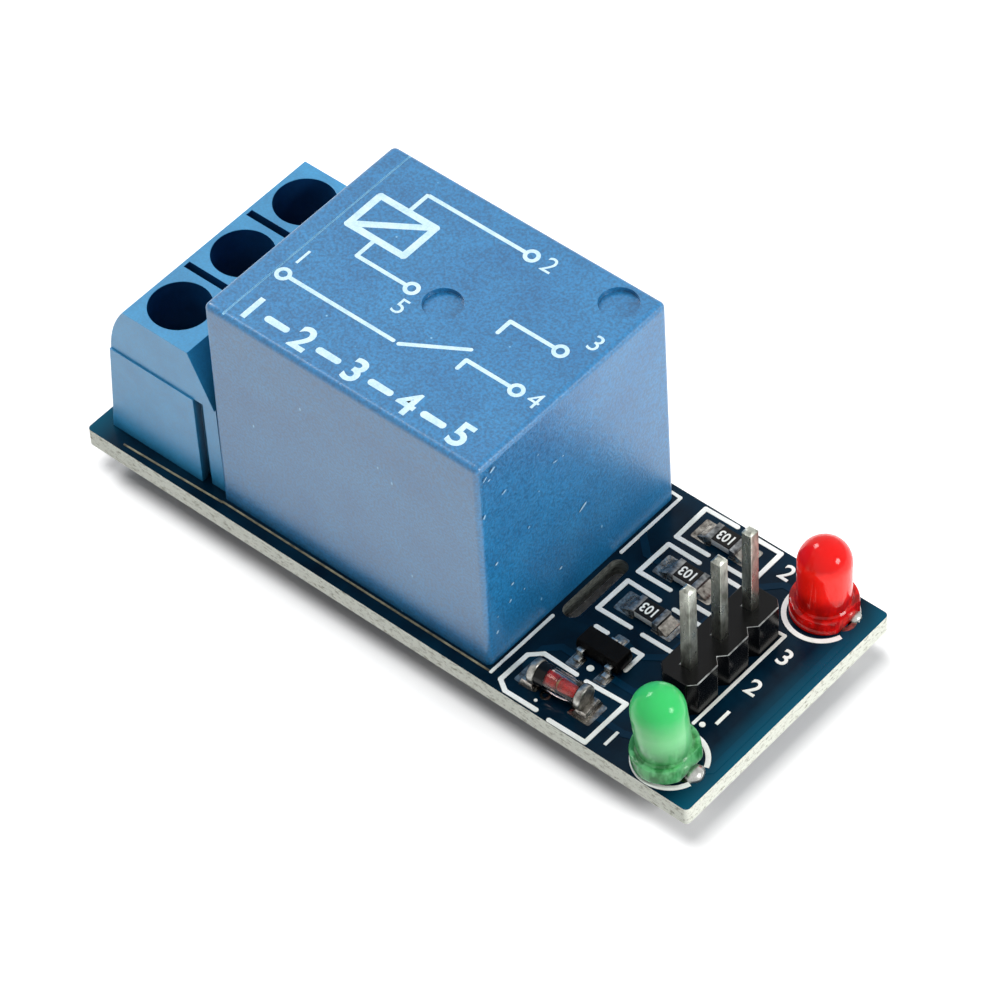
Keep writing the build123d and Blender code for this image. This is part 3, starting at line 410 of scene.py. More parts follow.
brightTin = dullMetal("brightTin", {
    "tones": ((150, 150, 146), (218, 219, 214)), "roughness": 0.22, "grain": (0.5, 0.12, 0.004)})
pinTin = dullMetal("pinTin", {
    "tones": ((104, 105, 96), (220, 223, 212)), "roughness": 0.24, "grain": (0.45, 0.2, 0.004),
    "stretch": (1, 1, 0.35)})
solderTin = dullMetal("solderTin", {
    "tones": ((72, 66, 62), (186, 182, 174)), "roughness": 0.18, "grain": (0.35, 0.15, 0.014)})
jointTin = dullMetal("jointTin", {
    "tones": ((128, 128, 124), (206, 206, 202)), "roughness": 0.2, "grain": (0.6, 0.2, 0.008)})
capTin = dullMetal("capTin", {
    "tones": ((84, 80, 76), (186, 186, 180)), "roughness": 0.28, "grain": (0.4, 0.15, 0.008)})
dippedTin = dullMetal("dippedTin", {
    "tones": ((64, 66, 68), (160, 162, 162)), "roughness": 0.3, "grain": (0.3, 0.12, 0.012)})
springBronze = dullMetal("springBronze", {
    "tones": ((176, 128, 84), (206, 158, 108)), "roughness": 0.3, "grain": (1.5, 0.1, 0.002),
    "stretch": (0.2, 1, 1)})
tinnedBrass = dullMetal("tinnedBrass", {
    "tones": ((150, 138, 110), (200, 190, 160)), "roughness": 0.3, "grain": (1.2, 0.1, 0.002)})
softIron = dullMetal("softIron", {
    "tones": ((140, 142, 145), (180, 182, 186)), "roughness": 0.35, "grain": (1.5, 0.1, 0.003)})
contactSilver = dullMetal("contactSilver", {
    "tones": ((205, 204, 200), (236, 235, 230)), "roughness": 0.2, "grain": (0.5, 0.05, 0.001)})
zincSteel = dullMetal("zincSteel", {
    "tones": ((84, 66, 48), (150, 124, 96)), "roughness": 0.35, "grain": (0.6, 0.1, 0.004)})
plugCopper = mouldedPlastic("plugCopper", {
    "tones": ((120, 6, 8), (186, 14, 16)), "mottle": 0.4, "ior": 1.3, "roughness": 0.4,
    "grain": (0.3, 0.08, 0.002)})


def coilFinish(look):
    material, tree, shader = startMaterial("windingCopper", {"Metallic": 0.8, "Roughness": 0.35})
    turns = bands(tree, pointInPiece(tree), look["wireSize"], "Z", {"Distortion": 0.4, "Detail": 1.0})
    feed(shader, "Base Color", ramp(tree, turns, [(0.1, look["dark"]), (0.8, look["pale"])]))
    addBump(tree, shader, turns, look["wireSize"] / 4)
    return material


windingCopper = coilFinish({
    "wireSize": 0.08 * mm, "dark": screenColour(110, 48, 22), "pale": screenColour(196, 104, 58)})


# Circuit board: solder mask over glass cloth, raw pale edges

boardLook = {
    "maskDark": screenColour(0, 17, 32),
    "maskPale": screenColour(1, 34, 52),
    "maskRim": screenColour(4, 76, 100),
    "rimStart": 19.7 * mm,
    "rimEnd": 21.4 * mm,
    "overCopper": screenColour(2, 42, 66),
    "edgeDark": screenColour(142, 140, 118),
    "edgePale": screenColour(238, 241, 229),
    "blotch": 2.2 * mm,
    "weave": 0.42 * mm,
    "weaveDepth": 0.0012 * mm,
    "edgeRounding": 0.05 * mm,
    "edgeBlotch": 0.42 * mm,
    "edgeChips": 0.14 * mm,
    "edgeDepth": 0.09 * mm,
    # The slot's walls are darker than the raw edge of the same laminate: painted shade
    "slotWall": screenColour(104, 108, 102),
    "slotShade": screenColour(48, 50, 48),
    "slotStreak": 0.3 * mm,
    "slotDepth": 0.03 * mm,
    "rimDepth": 0.4 * mm,  # walls this near to the outside are the raw edge
    "slotReach": 1.6 * mm,  # the slot lies this near to the relay, and this near to the middle line
    "slotHalf": 3 * mm,
}


def maskFinish(name, dark, pale, rim):
    material, tree, shader = startMaterial(name, {
        "Roughness": 0.22, "IOR": 1.5, "Specular IOR Level": 0.12})
    point = pointInPiece(tree)
    tone = ramp(tree, cloud(tree, point, boardLook["blotch"], 4.0), [(0.32, dark), (0.7, pale)])
    along = addNode(tree, "ShaderNodeSeparateXYZ", {"Vector": point})
    reach = combine(tree, "ABSOLUTE", along.outputs["X"])
    share = shareBetween(tree, reach, boardLook["rimStart"], boardLook["rimEnd"])
    feed(shader, "Base Color", blendColours(tree, share, tone, rim))
    weave = combine(tree, "MAXIMUM", *(bands(tree, point, boardLook["weave"], way) for way in "XY"))
    addBump(tree, shader, weave, boardLook["weaveDepth"])
    return material


def rawEdgeFinish(look):
    material, tree, shader = startMaterial("rawLaminate", {"Roughness": 0.85})
    point = pointInPiece(tree, stretch=(1, 1, 2.2))
    blotch = cloud(tree, point, look["edgeBlotch"], 5.0, 0.7)
    chips = cloud(tree, point, look["edgeChips"], 3.0, 0.7)
    tone = ramp(tree, blotch, [(0.3, look["edgeDark"]), (0.48, look["edgePale"])])
    dents = ramp(tree, chips, [(0.3, grey(0.55)), (0.42, grey(1.0))])
    feed(shader, "Base Color", blendColours(tree, 1.0, tone, dents, "MULTIPLY"))
    addBump(tree, shader, chips, look["edgeDepth"])
    return material


def slotShadeFinish(look):
    # Grey streaked laminate for the slot's walls: painted shade
    material, tree, shader = startMaterial("slotShadeLaminate", {"Roughness": 0.8})
    streak = cloud(tree, pointInPiece(tree, stretch=(1, 1, 3)), look["slotStreak"], 4.0)
    feed(shader, "Base Color", ramp(tree, streak, [(0.3, look["slotShade"]), (0.6, look["slotWall"])]))
    addBump(tree, shader, streak, look["slotDepth"])
    return material


solderMask = maskFinish("solderMask", boardLook["maskDark"], boardLook["maskPale"], boardLook["maskRim"])
maskOverCopper = maskFinish("maskOverCopper", boardLook["maskPale"], boardLook["overCopper"],
                            boardLook["maskRim"])
rawLaminate = rawEdgeFinish(boardLook)
slotShadeLaminate = slotShadeFinish(boardLook)


def makeBoard(look):
    shape = nodeShape("circuit_board", look["edgeRounding"])
    for face in shape.faces:
        middle = face.calc_center_median()
        if abs(face.normal.z) > 0.6:
            face.material_index = 0
        elif max(abs(middle.x) - boardHigh.x, abs(middle.y) - boardHigh.y) > -look["rimDepth"]:
            face.material_index = 1
        # Walls of the slot by the relay take the darker laminate: painted shade
        elif 0 < middle.x - relayHigh.x < look["slotReach"] and abs(middle.y) < look["slotHalf"]:
            face.material_index = 2
        else:
            face.material_index = 3
    newPiece("boardLaminate", shape, [solderMask, rawLaminate, slotShadeLaminate, solderTin],
             standsFor=["circuit_board"])


makeBoard(boardLook)
print("board done")

# Copper tracks under the mask, on both faces, and the bare pads

copperLook = {
    "height": 0.03 * mm,
    "sunk": 0.01 * mm,
    "thin": 0.45 * mm,
    "heavy": 3.0 * mm,
    "padHeight": 0.035 * mm,
    "resistorPad": (1.35 * mm, 1.5 * mm),
    "resistorPadOut": 1.28 * mm,
    "transistorPad": (0.8 * mm, 0.95 * mm),
    "diodePad": (1.5 * mm, 1.6 * mm),
    "corner": 0.12 * mm,
    "smallCorner": 0.1 * mm,
    "ring": (0.98 * mm, 0.45 * mm),  # radius and width
    "lampRingTop": (0.6 * mm, 0.3 * mm),
    "viaRing": (0.24 * mm, 0.16 * mm),
}
pinSpots = {
    "coilLow": (3.3, -5.85), "coilHigh": (3.3, 6.15), "common": (5.3, 0.15),
    "contactLow": (-8.9, -5.85), "contactHigh": (-8.9, 6.15),
    "poleLow": (-16.4, -4.95), "poleMiddle": (-16.4, 0.05), "poleHigh": (-16.4, 5.05),
    "pinLow": (16.58, -2.34), "pinMiddle": (16.58, 0.2), "pinHigh": (16.58, 2.74),
    "greenIn": (17.23, -6.46), "greenOut": (19.77, -6.46), "redIn": (17.23, 6.6), "redOut": (19.77, 6.6),
}
thinTracksTop = [
    [(12.75, 0.43), (13.9, 0.43), (14.6, 1.1), (14.6, 5.4), (15.8, 6.6), (17.2, 6.6)],
    [(12.75, 3.68), (13.6, 3.68), (14.1, 3.2), (14.1, -1.2), (12.9, -2.1), (11.5, -1.75)],
    [(10.4, 3.68), (8.7, 3.68), (7.0, 5.2), (5.0, 6.15)],
    [(12.4, -4.1), (14.2, -4.1), (15.0, -3.3), (15.0, -0.3), (15.6, 0.2), (16.5, 0.2)],
    [(13.1, -6.6), (15.6, -6.6), (16.0, -6.46), (17.2, -6.46)],
    [(10.5, -4.1), (9.3, -4.1), (8.6, -4.8), (8.6, -6.2), (9.2, -6.6)],
    [(19.8, -6.46), (20.7, -5.6), (20.7, 5.6), (19.8, 6.6)],
]
heavyTracksUnder = [
    [pinSpots["poleHigh"], (-12.5, 5.05), (-10.2, 6.15), pinSpots["contactHigh"]],
    [pinSpots["poleLow"], (-12.5, -4.95), (-10.2, -5.85), pinSpots["contactLow"]],
    [pinSpots["poleMiddle"], (4.0, 0.05), pinSpots["common"]],
]
thinTracksUnder = [
    [pinSpots["coilHigh"], (5.4, 7.6), (12.5, 7.6), (14.0, 6.1), (14.0, 3.5), (15.0, 2.74),
     pinSpots["pinHigh"]],
    [pinSpots["coilLow"], (4.6, -7.4), (9.5, -7.4), (10.7, -7.1)],
    [pinSpots["pinLow"], (14.2, -2.34), (12.4, -4.1), (11.0, -7.0)],
    [pinSpots["pinMiddle"], (18.2, 0.2), (20.3, -1.9), (20.3, -5.6), pinSpots["greenOut"]],
    [pinSpots["redOut"], (20.4, 5.8), (20.4, 2.2), (18.4, 0.4)],
]
vias = [(10.74, -7.17)]
transistorPads = [(10.51, -4.4), (12.41, -4.4), (11.46, -2.0)]
diodePads = [(9.45, -6.58), (13.1, -6.58)]


def setOnBoard(shape, under):
    # Drawn on level 0, then set on the top face, or turned over and set on the under one
    if under:
        bmesh.ops.scale(shape, verts=shape.verts, vec=(1, 1, -1))
        bmesh.ops.reverse_faces(shape, faces=shape.faces)
    bmesh.ops.translate(shape, verts=shape.verts, vec=(0, 0, boardUnder if under else boardTop))


def makeTracks(name, thin, heavy, under):
    shape = bmesh.new()
    for lines, width in ((thin, copperLook["thin"]), (heavy, copperLook["heavy"])):
        addLines(shape, lines, width, -copperLook["sunk"], copperLook["height"] + copperLook["sunk"])
    setOnBoard(shape, under)
    newPiece(name, shape, [maskOverCopper], smoothTo=20)


def makePads(look):
    shape = bmesh.new()
    high = look["padHeight"]
    for number in (1, 2, 3):
        low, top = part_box(f"resistor_{number}_chip")
        for side in (-1, 1):
            addPlate(shape, ((low.x + top.x) / 2 + side * look["resistorPadOut"], (low.y + top.y) / 2),
                     look["resistorPad"], boardTop, high, look["corner"])
    for x, y in transistorPads:
        addPlate(shape, (x * mm, y * mm), look["transistorPad"], boardTop, high, look["smallCorner"])
    for x, y in diodePads:
        addPlate(shape, (x * mm, y * mm), look["diodePad"], boardTop, high, look["corner"])
    newPiece("facePads", shape, [solderTin])


def makeRings(name, material, under, lampRing):
    # A ring of bare tin round each hole, and small rings for the vias
    shape = bmesh.new()
    rings = [(spot, lampRing if pin.startswith(("green", "red")) else copperLook["ring"])
             for pin, spot in pinSpots.items()] + [(spot, copperLook["viaRing"]) for spot in vias]
    for (x, y), (radius, width) in rings:
        addArc(shape, (x * mm, y * mm), radius, width, 0, 2 * pi, 0, copperLook["padHeight"])
    setOnBoard(shape, under)
    bmesh.ops.remove_doubles(shape, verts=shape.verts, dist=weld)
    newPiece(name, shape, [material])


makeTracks("tracksTop", thinTracksTop, [], False)
makeTracks("tracksUnder", thinTracksUnder, heavyTracksUnder, True)
makePads(copperLook)
makeRings("ringsTop", solderTin, False, copperLook["lampRingTop"])
makeRings("ringsUnder", jointTin, True, copperLook["ring"])
print("copper done")

# White ink on the board

inkLook = {
    "level": 0.002 * mm,
    "thickness": 0.04 * mm,
    "bold": 0.29 * mm,
    "fine": 0.2 * mm,
    "lampRing": 1.99 * mm,
    "lampRingFrom": 20,  # degrees
    "lampRingTurn": 320,
    "thin": 0.12 * mm,
    "figure": 1.55 * mm,
    "figureWeight": 0.012,
}
boldLines = [
    [(11.27, 8.24), (9.1, 8.2), (9.12, 5.66), (11.28, 5.7)],
    [(12.48, 8.2), (14.29, 8.21), (14.32, 5.68), (12.5, 5.66)],
    [(11.26, 4.97), (9.14, 4.98), (9.1, 2.48), (11.25, 2.52)],
    [(12.4, 4.97), (14.28, 4.98), (14.28, 2.5), (12.4, 2.48)],
    [(11.26, 1.6), (9.07, 1.63), (9.03, -0.84), (11.26, -0.8)],
    [(12.3, 1.6), (14.22, 1.6), (14.22, -0.76), (12.1, -0.8)],
    [(9.8, -1.88), (10.53, -1.87)],
    [(12.34, -1.92), (12.95, -1.9), (12.94, -3.23)],
    [(10.98, -8.24), (8.88, -8.27), (8.18, -7.82), (8.21, -5.66), (8.86, -5.04), (11.09, -5.07)],
    [(11.83, -5.12), (14.42, -4.98), (14.39, -8.3), (11.96, -8.34)],
]
fineLines = [
    [(17.62, 3.82), (18.02, 3.85), (17.98, -3.76)],
    [(7.5, -2.75), (7.46, -7.75)],
    [(7.5, 2.95), (7.54, 7.95), (6.9, 7.98)],
    [(-12.6, 7.95), (-20.6, 7.95), (-20.6, 7.0)],
]
wornLines = [[(7.46, -7.75), (-11.8, -7.8)], [(-11.8, -7.85), (-18.9, -8.1)]]
inkDots = [(18.4, -3.55, 0.17), (11.4, -4.29, 0.21), (10.55, -7.75, 0.1)]
lampRings = [(18.5, -6.33), (18.5, 6.32)]
boardFigures = [("1", 18.95, -2.6), ("2", 18.95, 0.0), ("3", 18.95, 2.62), ("1", 15.3, -7.3),
                ("2", 15.4, 7.3)]


def makeBoardInk(look):
    shape = bmesh.new()
    layer = (boardTop + look["level"], look["thickness"])
    addLines(shape, boldLines, look["bold"], *layer)
    addLines(shape, fineLines, look["fine"], *layer)
    for x, y, radius in inkDots:
        addDisc(shape, (x * mm, y * mm), radius * mm, *layer)
    for x, y in lampRings:
        addArc(shape, (x * mm, y * mm), look["lampRing"], look["bold"], radians(look["lampRingFrom"]),
               radians(look["lampRingTurn"]), *layer)
    newPiece("boardInk", shape, [whiteInk])
    shape = bmesh.new()
    addLines(shape, wornLines, look["thin"], *layer)
    newPiece("wornInk", shape, [dulledInk])
    shape = bmesh.new()
    for words, x, y in boardFigures:
        addFigure(shape, words, look["figure"], (x * mm, y * mm), *layer,
                  weight=look["figureWeight"])
    newPiece("boardFigures", shape, [whiteInk])


makeBoardInk(inkLook)
print("board ink done")

# Wire terminal

terminalLook = {
    "rounding": 0.1 * mm, "clipRounding": 0.06 * mm, "plateRounding": 0.05 * mm,
    "sillFront": -20.15 * mm, "sillLow": 0.2 * mm, "sillHigh": 1.87 * mm, "sideStep": 6.6 * mm,
    "boreReach": 1.9 * mm, "boreDepth": 10.1 * mm, "grooveHalf": 0.5 * mm, "grooveReach": 3 * mm,
    "level": 0.01 * mm, "near": 0.05 * mm,
}
threadLook = {
    "pitch": 0.45 * mm, "core": 1.0 * mm, "crest": 1.245 * mm, "outside": 1.25 * mm, "root": 0.95 * mm,
    "shank": (1.15 * mm, 1.27 * mm), "underHead": 1.05 * mm, "fromTip": 0.45 * mm, "fromTop": 1.3 * mm,
    "flankHalf": 0.4, "crestHalf": 0.06, "steps": 28, "headRounding": 0.05 * mm,
}


def makeScrew(number, look):
    # The shank is drawn in to the thread's core, and the thread is spun round it
    node = f"terminal_screw_{number}"
    low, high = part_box(node)
    centre = (low + high) / 2
    shape = nodeShape(node, look["headRounding"])
    shank = [vert for vert in shape.verts
             if look["shank"][0] < (vert.co.xy - centre.xy).length < look["shank"][1]
             and vert.co.z < high.z - look["underHead"]]
    thin = look["core"] / look["outside"]
    bmesh.ops.scale(shape, verts=shank, vec=(thin, thin, 1),
                    space=Matrix.Translation((-centre.x, -centre.y, 0)))
    tip = low.z + look["fromTip"]
    pitch, steps = look["pitch"], look["steps"]
    turns = (high.z - look["fromTop"] - tip) / pitch
    profile = [(look["root"], -look["flankHalf"] * pitch), (look["crest"], -look["crestHalf"] * pitch),
               (look["crest"], look["crestHalf"] * pitch), (look["root"], look["flankHalf"] * pitch)]
    verts = [shape.verts.new((centre.x + r, centre.y, tip + z)) for r, z in profile]
    face = shape.faces.new(verts)
    bmesh.ops.spin(shape, geom=[face, *face.edges, *verts], cent=(centre.x, centre.y, 0), axis=(0, 0, 1),
                   angle=2 * pi * turns, steps=int(steps * turns), dvec=(0, 0, pitch / steps),
                   use_merge=False)
    newPiece(f"clampScrew{number}", shape, [zincSteel], f"screw_{number}", 35, [node])


def thinHousingEdge(edge):
    # The narrow ends of the sill, and the small step along both sides
    look = terminalLook
    first, second = (vert.co for vert in edge.verts)
    top = max(first.z, second.z) - boardTop
    onSill = max(first.x, second.x) < look["sillFront"] and look["sillLow"] < top < look["sillHigh"]
    onStep = abs(first.z - second.z) < look["level"] and abs(top - look["sideStep"]) < look["near"]
    return onSill or onStep


def makeHousing(look):
    shape = nodeShape("terminal_housing", look["rounding"], 3, tooThin=thinHousingEdge)
    poles = [sum(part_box(f"terminal_screw_{number}"), Vector()) / 2 for number in (1, 2, 3)]
    for face in shape.faces:
        middle = face.calc_center_median()
        reach = min((middle.xy - pole.xy).length for pole in poles)
        offGroove = min(abs(middle.y - (one.y + two.y) / 2) for one, two in zip(poles[:-1], poles[1:]))
        inBore = reach < look["boreReach"] and middle.z < boardTop + look["boreDepth"]
        inGroove = (offGroove < look["grooveHalf"] and abs(face.normal.z) < 0.9
                    and middle.x > poles[0].x - look["grooveReach"])
        # Faces inside the bores and in the grooves take the darker copy: painted shade
        face.material_index = int(inBore or inGroove)
    newPiece("terminalHousing", shape, [terminalPlastic, shadedPlastic],
             standsFor=["terminal_housing"])


makeHousing(terminalLook)
for number in (1, 2, 3):
    softCopy(f"terminal_clip_{number}", f"wireClip{number}", tinnedBrass, terminalLook["clipRounding"])
    softCopy(f"terminal_guard_{number}", f"clampPlate{number}", zincSteel, terminalLook["plateRounding"],
             body=f"guard_{number}")
    makeScrew(number, threadLook)
print("wire terminal done")

# Relay: cover with print, and what it holds

coverLook = {
    "rounding": 0.11 * mm, "scoreLine": -10.55 * mm, "scoreHalf": 0.14 * mm, "scoreFrom": 0.01 * mm,
    "scoreTo": 0.4 * mm,
}
printLook = {
    "level": -0.004 * mm, "thickness": 0.01 * mm, "bold": 0.45 * mm, "line": 0.26 * mm, "figure": 1.6 * mm,
    "bigFigure": 2.3 * mm, "ring": 0.36 * mm, "ringWidth": 0.24 * mm, "rowLine": -6.1 * mm, "dashHalf": 0.6,
    "rowWeight": 0.025,
}
diagramBold = [
    [(-9.8, 1.7), (-5.9, 1.7), (-5.9, 4.3), (-9.8, 4.3), (-9.8, 1.7)],
    [(-9.8, 1.7), (-5.9, 4.3)],
]
diagramLines = [
    [(-7.85, 4.3), (-7.85, 5.9), (-1.0, 5.9)],
    [(-7.85, 1.7), (-7.85, 0.2), (-4.4, 0.2)],
    [(-1.9, -3.2), (1.3, -1.2)],
    [(1.6, -1.9), (4.6, -1.9)],
    [(1.6, 1.6), (4.6, 1.6)],
    [(1.6, -1.9), (1.6, -2.6)],
    [(1.6, 1.6), (1.6, 0.6)],
    [(-9.6, -3.2), (-2.3, -3.2)],
]
diagramRings = [(-0.6, 5.9), (-4.0, 0.2), (5.0, -1.9), (5.0, 1.6), (-10.0, -3.2)]
diagramFigures = [("1", -10.0, -1.7), ("2", 0.6, 5.9), ("3", 6.1, 3.1), ("4", 6.2, -1.9), ("5", -3.6, -1.2)]
bottomRow = [("1", -9.6), ("2", -6.0), ("3", -2.4), ("4", 1.2), ("5", 4.8)]


def makeRelayPrint(look):
    shape = bmesh.new()
    layer = (relayTop + look["level"], look["thickness"])
    addLines(shape, diagramBold, look["bold"], *layer)
    addLines(shape, diagramLines, look["line"], *layer)
    for x, y in diagramRings:
        addArc(shape, (x * mm, y * mm), look["ring"], look["ringWidth"], 0, 2 * pi, *layer)
    for words, x, y in diagramFigures:
        addFigure(shape, words, look["figure"], (x * mm, y * mm), *layer)
    for words, x in bottomRow:
        addFigure(shape, words, look["bigFigure"], (x * mm, look["rowLine"]), *layer,
                  weight=look["rowWeight"])
    for (_, first), (_, second) in zip(bottomRow[:-1], bottomRow[1:]):
        ends = [(((first + second) / 2 + side * look["dashHalf"]) * mm, look["rowLine"]) for side in (-1, 1)]
        addStroke(shape, *ends, look["bold"], *layer)
    bmesh.ops.remove_doubles(shape, verts=shape.verts, dist=weld)
    newPiece("relayPrint", shape, [paleBlueInk])


def makeRelayCover(look):
    shape = nodeShape("relay_cover", look["rounding"], 3)
    for face in shape.faces:
        middle = face.calc_center_median()
        onLine = abs(middle.x - look["scoreLine"]) < look["scoreHalf"]
        # The score line's faces take a paler plastic: painted light over the groove's own shade
        face.material_index = int(onLine and look["scoreFrom"] < relayTop - middle.z < look["scoreTo"])
    newPiece("relayCover", shape, [relayPlastic, scoredPlastic],
             standsFor=["relay_cover"])


# Pale specks and scuffs on the side that faces the header: y, z, length, width and lean
fleckThickness = 0.016 * mm
flecks = [
    (0.37, 8.89, 0.72, 0.17, 28), (-5.63, 15.36, 0.4, 0.1, 15), (-1.63, 14.22, 0.4, 0.07, -9),
    (-2.92, 15.85, 0.16, 0.07, 20), (-1.01, 14.11, 0.14, 0.08, 0), (-3.9, 11.07, 0.18, 0.09, 30),
    (-6.51, 10.54, 0.26, 0.14, 30), (-5.4, 7.92, 0.24, 0.14, 10), (-5.64, 6.77, 0.26, 0.1, 40),
    (-1.59, 5.74, 0.26, 0.16, 20), (-6.77, 5.28, 0.26, 0.16, 50), (-4.51, 6.71, 0.14, 0.08, 0),
    (-6.67, 6.42, 0.14, 0.07, 60), (-7.2, 14.8, 0.3, 0.14, 60), (-6.4, 17.75, 0.44, 0.16, 25),
    (-7.0, 17.5, 0.4, 0.1, 35), (-6.7, 17.2, 0.2, 0.08, 10), (3.4, 9.6, 0.14, 0.06, 40),
    (-3.0, 13.1, 0.12, 0.06, 0),
]


def makeFlecks(name, spots):
    shape = bmesh.new()
    for y, z, length, width, lean in spots:
        place = (Matrix.Translation((relayHigh.x, y * mm, z * mm)) @ Matrix.Rotation(radians(lean), 4, "X")
                 @ Matrix.Diagonal((fleckThickness, length * mm, width * mm, 1)))
        bmesh.ops.create_icosphere(shape, subdivisions=2, radius=0.5, matrix=place)
    newPiece(name, shape, [paleDust], smoothTo=80)


makeRelayCover(coverLook)
makeRelayPrint(printLook)
makeFlecks("relayFlecks", flecks)
for nodeName, material in {
    "relay_base": floorPlastic, "relay_seal": sealResin, "relay_bobbin": bobbinPlastic,
    "relay_coil": windingCopper, "relay_core": softIron, "relay_yoke": softIron,
    "relay_armature": softIron, "relay_contact_spring": springBronze,
    "relay_moving_contact": contactSilver, "relay_fixed_contacts": contactSilver,
    "relay_no_terminal": tinnedBrass, "relay_nc_terminal": tinnedBrass,
    "relay_com_terminal": tinnedBrass, "relay_coil_terminals": tinnedBrass,
}.items():
    paintNode(nodeName, material)
print("relay done")

# Pin header

headerLook = {"rounding": 0.06 * mm, "pinRounding": 0.03 * mm}


def makeHeader(look):
    shape = nodeShape("header_body", look["rounding"])
    for face in shape.faces:
        # Bevels that face up and toward +X take the pale finish: painted glint
        face.material_index = int(face.normal.x > 0.3 and face.normal.z > 0.3)
    newPiece("headerBlock", shape, [blackPlastic, paintedGlintPlastic],
             standsFor=["header_body"])


makeHeader(headerLook)
for number in (1, 2, 3):
    softCopy(f"header_pin_{number}", f"headerPin{number}", pinTin, headerLook["pinRounding"])
print("header done")

# Indicator lamps

lampShape = {
    "radius": 1.5 * mm, "flange": 1.9 * mm, "flangeHeight": 1.0 * mm, "barrel": 3.85 * mm,
    "flat": 1.6 * mm, "lip": 0.12 * mm, "foot": 0.08 * mm, "neck": 0.1 * mm, "steps": 72, "domeSteps": 16,
}
lampEpoxy = {
    "scatterWeight": 0.75, "scatterDepth": 3 * mm, "shine": 0.26, "wave": 1.5 * mm, "waveShare": 0.12,
    "streak": 0.5 * mm, "streaksFrom": 0.44, "streaksTo": 0.18, "creviceShadeReach": 0.5 * mm,
    "ripple": 0.5 * mm, "rippleDepth": 0.004 * mm,
}
beadLook = {"stretch": 1.15, "sunk": 0.05 * mm}
lampBeads = [(20.16, -6.36, 0.56, 0.5), (20.12, 7.2, 0.36, 0.3)]  # x, y, radius and height
greenLamp = {
    "axis": (18.5, -6.46), "lean": 5.5, "heading": -136.7, "lift": 0.3, "slot": "green_lens",
    "dome": screenColour(56, 182, 102), "barrel": screenColour(120, 200, 138),
    "foot": screenColour(84, 164, 104), "middle": screenColour(104, 182, 122), "scatter": (0.5, 1.0, 0.55),
    "roughness": 0.14, "shade": (0.3, 0.46, 0.36, 1.0), "fade": (0.6, 0.88), "paintedGlow": 0.0,
}
redLamp = {
    "axis": (18.5, 6.6), "lean": 0.0, "heading": 0.0, "lift": 0.05, "slot": "red_lens",
    "dome": screenColour(200, 6, 4), "barrel": screenColour(252, 34, 24),
    "foot": screenColour(196, 8, 6), "middle": screenColour(176, 7, 6), "scatter": (1.0, 0.25, 0.15),
    "roughness": 0.08, "shade": (0.28, 0.1, 0.1, 1.0), "fade": (0.84, 0.9), "paintedGlow": 0.11,
}


def lampPlace(look):
    middle = (boardTop + boardUnder) / 2
    lean = Matrix.Rotation(radians(look["lean"]), 4,
                           Vector((-sin(radians(look["heading"])), cos(radians(look["heading"])), 0)))
    rise = Matrix.Translation((0, 0, boardTop - middle + look["lift"] * mm))
    return Matrix.Translation((look["axis"][0] * mm, look["axis"][1] * mm, middle)) @ lean @ rise


def lampFinish(name, look):
    resin = lampEpoxy
    # The emission is painted light: it lifts the lamp's side that the relay shades, though the lamp is not
    # lit
    material, tree, shader = startMaterial(name, {
        "Roughness": look["roughness"], "IOR": 1.5, "Specular IOR Level": resin["shine"],
        "Subsurface Weight": resin["scatterWeight"], "Subsurface Radius": look["scatter"],
        "Subsurface Scale": resin["scatterDepth"], "Emission Color": look["barrel"],
        "Emission Strength": look["paintedGlow"]})
    foot = lampPlace(look).to_translation()
    point = pointInPiece(tree, centre=tuple(foot))
    height = addNode(tree, "ShaderNodeSeparateXYZ", {"Vector": point})
    share = shareBetween(tree, height.outputs["Z"], 0.0, lampShape["barrel"] + lampShape["radius"])
    wave = combine(tree, "MULTIPLY", cloud(tree, point, resin["wave"], 2.0), resin["waveShare"])
    # Tones by height: painted light and shade of the translucent epoxy, the barrel lighter than the dome and
    # the foot
    tone = ramp(tree, combine(tree, "ADD", share, wave), [
        (0.14, look["foot"]), (0.36, look["middle"]), (0.56, look["barrel"]),
        (look["fade"][0], look["barrel"]), (look["fade"][1], look["dome"])])
    # Dark streaks towards the foot: painted shade standing in for refraction through the flange
    streaks = cloud(tree, pointInPiece(tree, tuple(foot), (1, 1, 0.4)), resin["streak"], 2.0)
    shade = ramp(tree, streaks, [(0.42, look["shade"]), (0.6, grey(1.0))])
    nearFoot = shareBetween(tree, share, resin["streaksFrom"], resin["streaksTo"])
    tone = blendColours(tree, 1.0, tone, blendColours(tree, nearFoot, grey(1.0), shade), "MULTIPLY")
    # Creases darkened by ambient occlusion: painted shade
    feed(shader, "Base Color", shadeCrevices(tree, tone, resin["creviceShadeReach"], grey(0.3)))
    addBump(tree, shader, cloud(tree, point, resin["ripple"], 2.0), resin["rippleDepth"])
    return material


